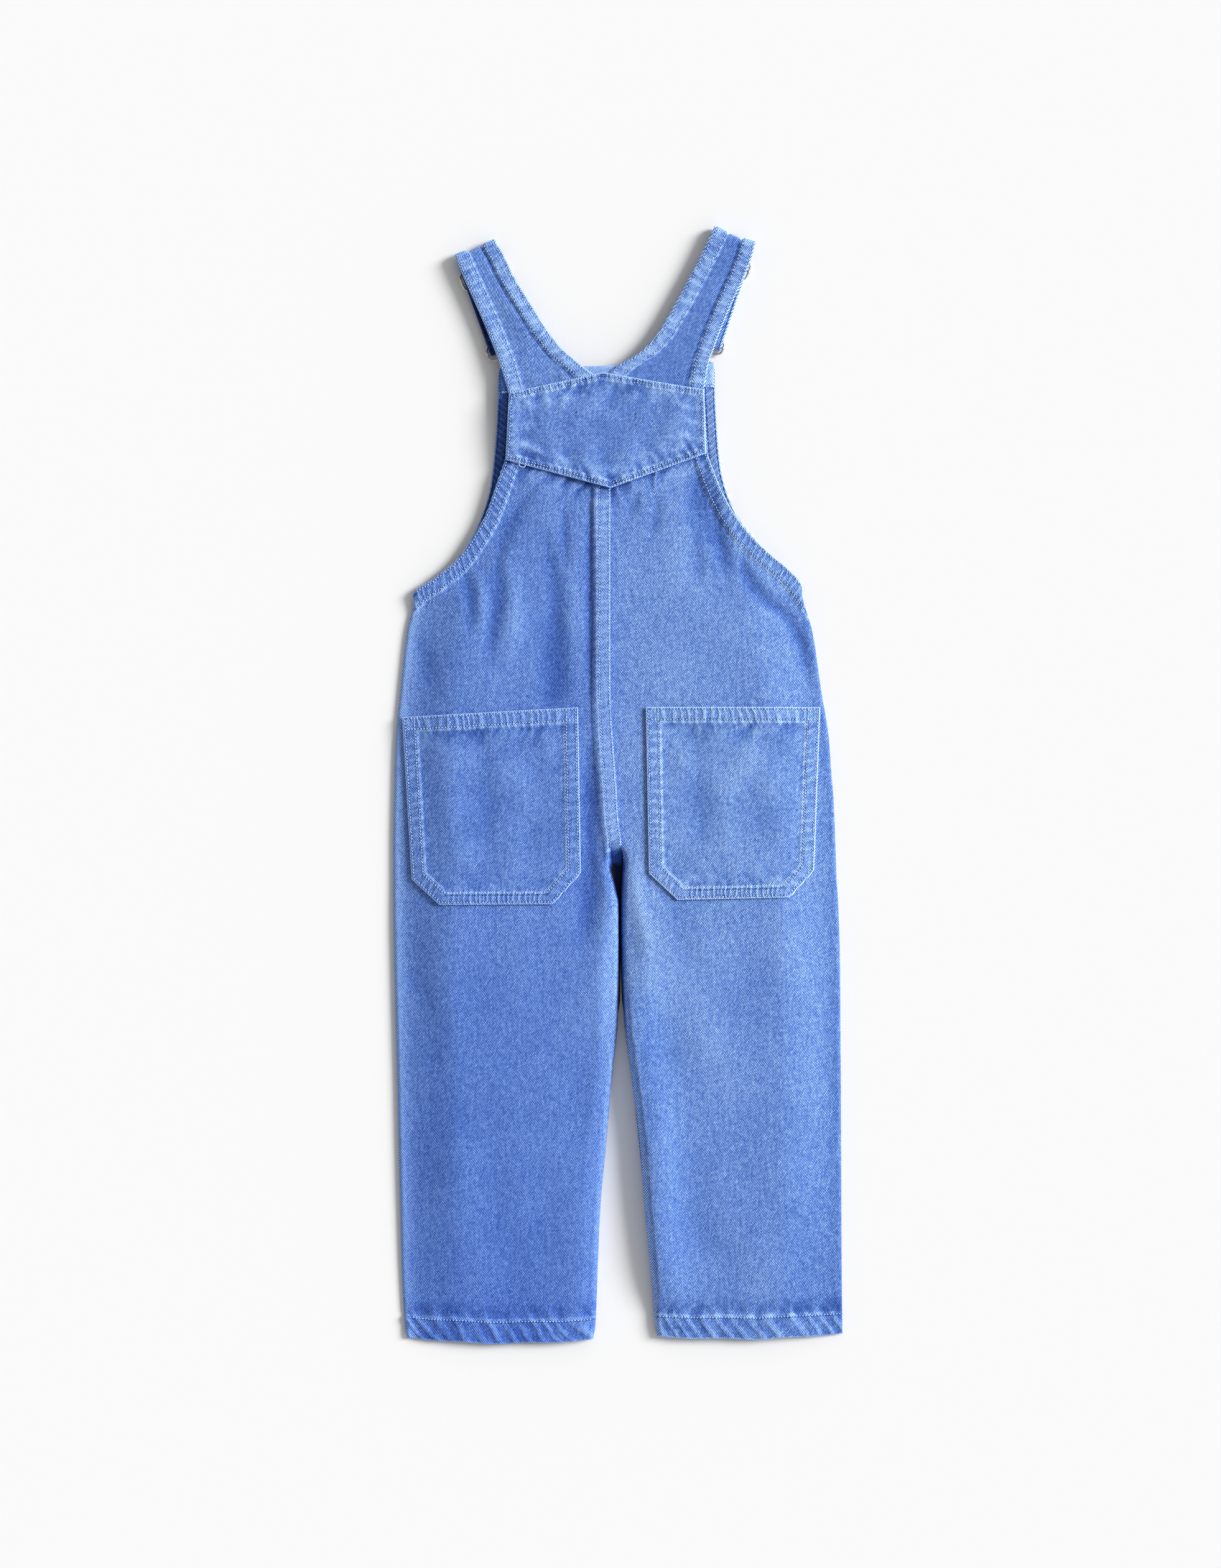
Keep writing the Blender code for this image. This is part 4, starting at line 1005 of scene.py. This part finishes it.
class Pocket(Patch):
    """A patch pocket lying on its back, open at the top."""

    def __init__(self, side, table):
        ends = np.array(table, float).reshape(3, 2, 2)
        self.outline = np.concatenate([ends[::-1, 1], ends[:, 0]])
        double = (9.4, *POCKET_ROWS, 6.8, 0.3, 0.40)
        bottom, upper = (7.6, 1.8, 6.6, 3.6, 0.1, 0.62), (10.2, *MOUTH_ROWS, 5.3, 0.25, 0.62)
        super().__init__(self.outline[[3, 2, 1, 0, 5, 4, 3]], (bottom, double, double, upper, double, double))
        self.back, self.mouth = backs[side], ends[2]
        self.seed = 41 if side == "left" else 47
        self.creases = POCKET_CREASES[side]

    def height(self, x, y, with_wear_and_light=False):
        d, _, width, *_ = self.marks(x, y)
        seed = self.seed
        mouth, along = to_line(x, y, self.mouth)
        below, below_wear_and_painted_light = self.back.height(x, y, with_wear_and_light=True)
        z = below + 1.45 + hem_step(d, width, 0.5)
        z = z + 0.5 * (1 - smooth(mouth / 26)) * np.sin(math.pi * np.clip(along / 122, 0, 1))
        swell = waves(x, y, seed, 25, 80, 10) * ramp(d, 8, 22)
        off = 0
        for line, strength, start, reach, shift, cell, clear, over in (
                (self.mouth, 1.0, 10, 12.0, 0, 4.6, 8, 4),
                (self.corners[:2], 0.8, 8, 12.0, 5, 4.0, 7, 3),
                (self.corners[2:4], 0.5, 9, 7.0, 9, 4.4, 8, 3),
                (self.corners[4:6], 0.5, 9, 7.0, 9, 4.4, 8, 3)):
            away, run = to_line(x, y, line)
            ridges = gathers(np.maximum(away - start, 0), run, reach, seed + shift, cell)
            off = off + strength * ridges * (away > start) * smooth((d - clear) / over)
        folds = creases(x, y, self.creases)
        z = z + 0.3 * swell + 0.25 * off + folds
        wear_and_painted_light = 0.15 * below_wear_and_painted_light + 0.06 * swell + 0.28 * off + 0.22 * folds - 0.05
        wear_and_painted_light = wear_and_painted_light - 0.16 * bell(mouth - 13, 2.2) + 0.05 * ramp(mouth, 11.1, 9.5)
        wear_and_painted_light = wear_and_painted_light + 0.10 * (1 - smooth((d - width) / 1.6))
        return (z, wear_and_painted_light) if with_wear_and_light else z


for side, table in (("left", POCKET_LEFT), ("right", POCKET_RIGHT)):
    pocket = Pocket(side, table)
    edge = (0, 0.3, 0.7, 1.3, 2.2)
    middles = np.array(table, float).reshape(3, 2, 2).mean(1)
    knots = lengths(middles)
    v = np.unique(np.append(rows_for(knots[-1], 2.0, edge, edge), knots[1]))
    x, y = patch_grid(table, knots, v, columns_for(120.0, (*edge, 3.4)))
    z, wear_and_painted_light = pocket.height(x, y, with_wear_and_light=True)
    points = np.stack([x, y, z], -1)
    marks = marked(x, y, dye_and_side_shade(x, y) + 0.2, pocket.marks(x, y), wear_and_painted_light)
    piece = cloth(f"pocket_{side}", points, 0.9, marks, DENIM_POCKET)
    centre = pocket.corners[:-1].mean(0)
    paths = [lifted(mitred(pocket.outline, depth, centre), pocket.height) for depth in POCKET_ROWS]
    paths += [lifted(inset_line(pocket.mouth, depth, centre)[2:-2], pocket.height) for depth in MOUTH_ROWS]
    made = stitches(f"pocket_{side}", paths, THREAD, 15 if side == "left" else 16)

# Yoke
turned, plain = (4.4, 1.35, 3.1, 5.4, 0.3, 0.6), (3.4, 2.0, NO_ROW, 6.0, 0.3, 0.6)
(low_left, low_middle, low_right), (high_left, high_middle, high_right) = (
    [row[k:k + 2] for row in YOKE] for k in (0, 2))
yoke_patch = Patch((low_left, low_middle, low_right, high_right, high_middle, high_left, low_left),
                   (turned, turned, plain, turned, turned, plain))
YOKE_STREAKS = (
    (-74, 237, -48, 228), (-70, 246, -56, 250), (58, 240, 40, 246), (-66, 268, -60, 258),
    (48, 240, 36, 232), (-30, 222, -44, 232), (24, 276, 20, 262), (8, 280, 12, 266),
    (-73, 264, -62, 270), (-72, 232, -60, 238), (57, 252, 44, 256), (56, 262, 40, 266),
    (50, 246, 34, 242), (-52, 270, -48, 260), (-40, 274, -38, 262), (40, 272, 36, 262))


def yoke_top(x, y, with_wear_and_light=False):
    d, _, width, *_ = yoke_patch.marks(x, y)
    low, high = (np.interp(x, *zip(*ends)) for ends in (
        (low_left, low_middle, low_right), (high_left, high_middle, high_right)))
    t = np.clip((x - YOKE_START) / YOKE_WIDTH, 0, 1)
    from_end = np.minimum(t, 1 - t) * YOKE_WIDTH
    share = np.clip((y - low) / (high - low), 0, 1)
    z = 9.3 + 1.75 * smooth(share / 0.7)
    z = z + 1.2 * smooth((30 - np.abs(x + 9)) / 14) * (1 - smooth(share / 0.5))
    z = z - 1.6 * (1 - bulge(from_end / 7)) * (1 - 0.5 * share) + hem_step(d, width, 0.4)
    swell = waves(x, y, 61, 14, 60, 14, 1.6) * smooth(d / 9)
    edge = np.minimum(y - low, high - y)
    off = gathers(np.maximum(edge - 3, 0), x + 300 * (high - y < y - low), 12.0, 66)
    streaks = sum(creases(x, y, ((*ends, 2.0, 1.9, 1.0),)) for ends in YOKE_STREAKS)
    z = z + 0.5 * swell + 0.35 * off + 0.45 * streaks
    wear_and_painted_light = 0.10 * swell + 0.42 * off - 0.08 + 0.24 * bell(from_end, 9) + 0.32 * streaks
    wear_and_painted_light = wear_and_painted_light + 0.22 * bell(high - y, 5) + 0.10 * bell(y - low, 5)
    return (z, wear_and_painted_light) if with_wear_and_light else z


levels = columns_for(73.0, (0, 0.35, 0.8, 1.4, 2.4), 1.8)
v = np.unique(np.concatenate([levels, 1 + levels]))
x, y = patch_grid(YOKE, (0, 1, 2), v, columns_for(72.0, (0, 0.35, 0.8, 1.4, 2.4, 3.6), 1.6))
z, wear_and_painted_light = yoke_top(x, y, with_wear_and_light=True)
points = np.stack([x, y, z], -1)
marks = marked(x, y, dye_and_side_shade(x, y) + 0.1, yoke_patch.marks(x, y), wear_and_painted_light)
piece = cloth("yoke", points, 1.0, marks, DENIM_YOKE, flip=True)
paths = [lifted(inset_line(line, depth, (-8, 245))[1:-1], yoke_top)
         for line, kind in yoke_patch.lines() for depth in kind[1:3] if depth > 0]
made = stitches("yoke", paths, THREAD, 21)
loop = np.array([(-68.6, 223.4), (-67.9, 221.7), (-66.2, 220.8), (-64.7, 221.2), (-63.9, 222.4)])
loop = np.column_stack([loop, yoke_top(loop[:, 0], np.array([224.0, 223.5, 223.0, 222.8, 222.8])) - 0.5])
looped = stitches("yoke_loop", [loop], THREAD, 22, 0.9, 0.0)
tacks = [lifted(np.array([(x0, y0), (x0, y1)]), yoke_top)
         for x0, y0, y1 in ((-28.5, 259.5, 255.5), (12.6, 258.4, 254.6))]
tacked = stitches("yoke_tacks", tacks, DARK_THREAD, 23, 1.6, 0.0)

# Braces
def strap_grid(table, fold, bar, shares):
    """A brace from the yoke over its shoulder fold, round the hook's bar and back to the slider."""
    panel = Panel(STRAP_COLUMNS, table)
    rows = panel.rows(rows_for(panel.length, 2.0, (0, 1), (0,)))
    outer, inner = (np.stack([rows[f"{edge}_x"], rows[f"{edge}_y"]], 1) for edge in ("outer", "inner"))
    path = [(*place, 0.0) for place in zip(outer, inner, rows["z"])]
    back_rows = len(path)
    outer_tip, inner_tip = np.array(fold[:2]), np.array(fold[2:])
    end, slider = np.array(bar[:2]), bar[2]
    top_z, low_z = path[-1][2], WEBBING / 2
    turn = (top_z - low_z) / 2
    down = (end - outer_tip) / np.linalg.norm(end - outer_tip)
    side = np.array([-down[1], down[0]])
    side *= np.sign(np.dot(side, inner_tip - outer_tip))
    outer_start = outer_tip + down * (turn + WEBBING / 2)
    inner_start = inner_tip + down * (turn + WEBBING / 2)
    length = float(np.dot(end - outer_start, down))
    inner_end = end + side * np.linalg.norm(inner_tip - outer_tip)

    def at(run, z, fold_share=0.0):
        t = min(max(run / length, 0), 1)
        extra = (run - t * length) * down
        return (outer_start + (end - outer_start) * t + extra,
                inner_start + (inner_end - inner_start) * t + extra, z, fold_share)

    def follow(stops, runs):
        places, heights = np.array(stops).T
        path.extend(at(run, float(eased(places, heights, np.array([run]))[0])) for run in runs)

    def loop(run, z, start):
        angles = [start + math.pi * i / 8 for i in range(9)]
        path.extend(at(run + LOOP_MID * math.cos(a), z + LOOP_MID * math.sin(a)) for a in angles)

    for i in range(13):
        angle = math.pi / 2 - math.pi * i / 12
        mid_z = (top_z + low_z) / 2
        path.append(at(-turn * math.cos(angle), mid_z + turn * math.sin(angle), math.cos(angle)))
    half = SLIDER_SIZE[1] / 2
    over = WIRE + 2 * GAP + WEBBING / 2
    follow(((0.5, low_z), (slider - half - 3, low_z + 0.7), (slider - half, over + 0.3),
            (slider - half + 3, low_z + 0.7), (slider - 2, low_z), (slider + 2, low_z),
            (slider + half - 3, low_z + 0.7), (slider + half, over + 0.3),
            (slider + half + 3, low_z + 0.7), (slider + half + 6, low_z),
            (length - 12, low_z), (length, low_z)), np.arange(1.5, length, 1.5))
    loop(length, low_z + LOOP_MID, -math.pi / 2)
    high_z = low_z + 2 * LOOP_MID
    above = low_z + WEBBING + GAP
    follow(((slider, above + 2 * LOOP_MID), (slider + 3, above + 2 * LOOP_MID), (slider + half, above + 3.2),
            (slider + half + 5, above + 2.2), (length - 16, above + 0.9), (length - 8, high_z),
            (length, high_z)),
           np.arange(length - 1.5, slider + 0.5, -1.5))
    loop(slider, above + LOOP_MID, math.pi / 2)
    path.append(at(slider + 2.0, above))
    grid = np.array([[(*(outer + (inner - outer) * u), z) for u in shares] for outer, inner, z, _ in path])
    spots = {"slider": (*at(slider, 0)[:2], above + LOOP_MID), "bar": (*at(length, 0)[:2], low_z + LOOP_MID)}
    return grid, np.array([place[3] for place in path]), back_rows, down, spots


def arc(cx, cy, radius, start, stop, count):
    angles = np.radians(np.linspace(start, stop, count))
    return [(cx + radius * math.cos(a), cy + radius * math.sin(a)) for a in angles]


def sweep(bm, points, radius, cyclic, sides=10):
    """A round wire along the points."""
    points = [Vector(p) for p in points]
    count = len(points)
    rings = []
    for i, p in enumerate(points):
        before = points[(i - 1) % count] if cyclic or i else p
        after = points[(i + 1) % count] if cyclic or i < count - 1 else p
        way = (after - before).normalized()
        across = way.cross(Vector((0, 0, 1))).normalized()
        up = across.cross(way)
        rings.append([bm.verts.new(p + (across * math.cos(a) + up * math.sin(a)) * radius)
                      for a in (TURN * k / sides for k in range(sides))])
    for i in range(count if cyclic else count - 1):
        one, two = rings[i], rings[(i + 1) % count]
        for k in range(sides):
            bm.faces.new((one[k], one[(k + 1) % sides], two[(k + 1) % sides], two[k]))
    if not cyclic:
        bm.faces.new(rings[0])
        bm.faces.new(rings[-1][::-1])


def bent_wire(name, outline, outer, inner, bar_z, height):
    """Closed bent wire with a straight bar across the brace, its ends crimped into balls, as one mesh.

    The outline runs in mm across and down from the bar's middle, and height gives its z from the place down.
    """
    bm = bmesh.new()
    side = (inner - outer) / np.linalg.norm(inner - outer)
    down = np.array([side[1], -side[0]])
    down = down if down[1] < 0 else -down
    origin = (outer + inner) / 2
    spots = [np.array([*(origin + side * a + down * b), height(b)]) for a, b in outline]
    fine = []
    for i in range(len(spots)):
        p0, p1, p2, p3 = (spots[(i + k) % len(spots)] for k in (-1, 0, 1, 2))
        steps = max(1, int(np.linalg.norm(p2 - p1) / 0.9))
        for t in (k / steps for k in range(steps)):
            fine.append(0.5 * (2 * p1 + (p2 - p0) * t + (2 * p0 - 5 * p1 + 4 * p2 - p3) * t * t
                               + (3 * p1 - p0 - 3 * p2 + p3) * t ** 3))
    sweep(bm, fine, WIRE / 2 * 1.1, True)
    ends = [np.array([*(origin + side * s), bar_z]) for s in (-BAR_HALF, BAR_HALF)]
    sweep(bm, [ends[0] + (ends[1] - ends[0]) * k / 12 for k in range(13)], WIRE / 2 * 0.93, False)
    for end in ends:
        bmesh.ops.create_uvsphere(bm, u_segments=16, v_segments=12, radius=BALL / 2 * 1.15,
                                  matrix=Matrix.Translation(end) @ Matrix.Scale(0.9, 4, (1, 0, 0)))
    bmesh.ops.translate(bm, verts=bm.verts[:], vec=(-CENTRE[0], -CENTRE[1], 0))
    bmesh.ops.scale(bm, verts=bm.verts[:], vec=(MM, MM, MM))
    bmesh.ops.recalc_face_normals(bm, faces=bm.faces[:])
    mesh = bpy.data.meshes.new(f"{name}_wire")
    bm.to_mesh(mesh)
    bm.free()
    mesh.shade_smooth()
    adopt(placed(mesh), METAL, "metal", name)


half_w, half_h, corner = SLIDER_SIZE[0] / 2, SLIDER_SIZE[1] / 2, 4.0
slider_outline = []
for right, lower, start in ((1, 1, 0), (-1, 1, 90), (-1, -1, 180), (1, -1, 270)):
    slider_outline += arc(right * (half_w - corner), lower * (half_h - corner), corner, start, start + 90, 6)
    if start in (90, 270):
        slider_outline.append((right * half_w, 0.0))
reach = HOOK_BAR_TO_BUTTON
right_half = [(0.0, -5.2), (BAR_HALF - 4, -5.2)]
right_half += arc(BAR_HALF - 4, -1.2, 4.0, -80, 0, 4) + [(BAR_HALF, 2.0)]
right_half += arc(BAR_HALF - 3.2, 2.2, 3.2, 15, 80, 3)
right_half += [(BAR_HALF - 8.5, 7.2), (10.6, 11.0), (9.9, 15.0), (8.0, 19.2), (4.1, 22.6)]
right_half += arc(0, reach, 5.3, -38, 70, 6) + [(0.0, reach + 5.3)]
hook_outline = right_half + [(-a, b) for a, b in reversed(right_half[1:-1])]

for side, table, fold, bar in (("left", STRAP_LEFT, FOLD_LEFT, BAR_LEFT),
                               ("right", STRAP_RIGHT, FOLD_RIGHT, BAR_RIGHT)):
    left = side == "left"
    shares = columns_for(32.0, (0, 0.3, 0.7, 1.2, 2.0, 3.2, 4.6, 6.2, 7.8, 8.8, 9.6, 10.4, 11.4), 1.3)
    grid, folded, back_rows, down, spots = strap_grid(table, fold, bar, shares)
    folded = folded[:, None]
    width = np.linalg.norm(grid[:, -1, :2] - grid[:, 0, :2], axis=1)[:, None]
    run = lengths(grid[:, len(shares) // 2])[:, None]
    across = shares * width
    from_edge = np.minimum(across, width - across)
    hem_wide = STRAP_HEM * np.minimum(1.0, width / 30.0)
    band = 1 - smooth((from_edge - hem_wide + 0.9) / 1.8)
    # the hems stand up on the side that faces out
    normal = np.cross(np.gradient(grid, axis=0), np.gradient(grid, axis=1))
    normal /= np.linalg.norm(normal, axis=-1, keepdims=True) * np.sign(normal[3, 3, 2])
    over = (np.arange(len(grid)) < back_rows + 12)[:, None]
    puff = 0.55 * band + 0.22 * np.sin(math.pi * np.clip(from_edge / hem_wide, 0, 1)) * band
    swell = 0.35 * waves(across, run, 77 + len(table), 16, 60, 12, 2.5)
    valley = bell(from_edge - hem_wide - 1.0, 1.2)
    # the hem on the photo's right side of each brace has pulled a deep valley beside it
    deep = (across > width / 2 if left else across < width / 2) * ramp(run, 410, 400) * over
    raised = (puff + swell * smooth(from_edge / 5) - 0.35 - 0.55 * deep * valley) * np.where(over, 1.0, 0.25)
    grid = grid + normal * (raised - 0.35 * (1 - bulge(from_edge / 0.9)))[..., None]
    # the shoulder fold bunches into three lobes
    lobes = (0.5 * band - 1.3 * bell(from_edge - hem_wide - 0.4, 1.2)) * folded
    grid = grid - np.array([*down, 0.0]) * lobes[..., None]
    # painted shade on the left brace's length past the fold, which lies in shadow, and in the valleys beside
    # the hems; painted light on the shoulder fold, and the left brace's middle darkened less than the right's
    # as painted light
    shade = np.where(over, -0.1 - 0.25 * ramp(run, 90, 120), -1.0 if left else -0.1)
    inner_half = across > width / 2
    place = roping(from_edge + 40 * inner_half, run, 6.2, 0.15, 9) + 70 * inner_half
    wear_and_painted_light = 0.24 * band - (0.02 if left else 0.16) * (1 - band) - 0.10 * valley - 0.42 * deep * valley
    wear_and_painted_light = wear_and_painted_light + 0.3 * folded + np.where(over, 0.0, -1.7 if left else -0.1)
    wear_and_painted_light = wear_and_painted_light + 0.30 * band * grain(across / 5, run / 3.8, 5)
    kind = (from_edge, place, hem_wide, 1.6, hem_wide - 1.0, 0.40)
    marks = marked(across if left else -across, run, shade, kind, wear_and_painted_light)
    piece = cloth(f"strap_{side}", grid, WEBBING * 0.9, marks, DENIM_STRAPS[side], flip=left, offset=0.0)
    paths = []
    for reach in (1.6 + 0 * hem_wide, hem_wide - 1.0):
        for spot in (reach, width - reach):
            path = []
            for r in range(2, back_rows + 5):
                c = np.interp(spot[r, 0], across[r], np.arange(len(shares)))
                k = min(int(c), len(shares) - 2)
                on_hem = grid[r, k] * (1 - c + k) + grid[r, k + 1] * (c - k)
                path.append(on_hem + normal[r, k] * WEBBING * 0.45)
            paths.append(path)
    made = stitches(f"strap_{side}", paths, THREAD, 31)

    outer, inner, bar_z = spots["slider"]
    low = WIRE / 2 + GAP
    bent_wire(f"slider_{side}", slider_outline, outer, inner, bar_z,
              lambda b: low + (bar_z - low) * float(1 - smooth(abs(b) / (half_h - 1))))
    outer, inner, bar_z = spots["bar"]
    button_z = BIB_LIFT - GAP - WIRE / 2 - 0.3
    bent_wire(f"hook_{side}", hook_outline, outer, inner, bar_z,
              lambda b: bar_z + (button_z - bar_z) * float(smooth(b / 12)))
    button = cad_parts[f"button_{side}"].data.materials
    button.clear()
    button.append(METAL)

# ---------------------------------------------------------------- floor, light and camera

FLOOR_Z, CAMERA_Z = -0.0002, 2.5
floor_mesh = bpy.data.meshes.new("floor")
floor_mesh.from_pydata([(x, y, FLOOR_Z) for x, y in ((-6, -6), (6, -6), (6, 6), (-6, 6))], [], [(0, 1, 2, 3)])
floor_mesh.materials.append(Tree(bpy.data.materials.new("paper")).done(
    {"Base Color": (0.9, 0.9, 0.9, 1), "Roughness": 0.9, "Specular IOR Level": 0.0}))
floor = placed(floor_mesh)

# soft light, mostly from low down and from the key's side, so it reaches little into narrow gaps
sky = Tree(bpy.data.worlds.new("studio"), "Background")
east, _, up = sky.split(sky.node("TexCoord", out="Generated"))
level = up * up * -SKY_RING + (SKY_TOP + SKY_RING)
bpy.context.scene.world = sky.done({"Color": (1, 1, 1, 1), "Strength": (east * SKY_LEAN + 1.0) * level})

# the key light, parallel and soft, from an azimuth measured from +X towards +Y
key = bpy.data.lights.new("key", "SUN")
key.energy = KEY_POWER
key.angle = math.radians(KEY_SPREAD)
azimuth, elevation = math.radians(KEY_AZIMUTH), math.radians(KEY_ELEVATION)
towards = Vector((math.cos(azimuth) * math.cos(elevation), math.sin(azimuth) * math.cos(elevation),
                  math.sin(elevation)))
lamp = placed(key)
lamp.rotation_euler = towards.to_track_quat("Z", "Y").to_euler()
lamp.location = towards * 3

lens = bpy.data.cameras.new("camera")
lens.sensor_fit = "VERTICAL"
lens.sensor_width, lens.sensor_height = 28.02, 36.0
lens.lens = 82.4
lens.clip_end = 50
camera = placed(lens)
camera.location = (-0.005 - CENTRE[0] * MM, 0.001 - CENTRE[1] * MM, CAMERA_Z)

scene = bpy.context.scene
scene.camera = camera
scene.view_settings.view_transform = "Standard"
scene.view_settings.look = "None"
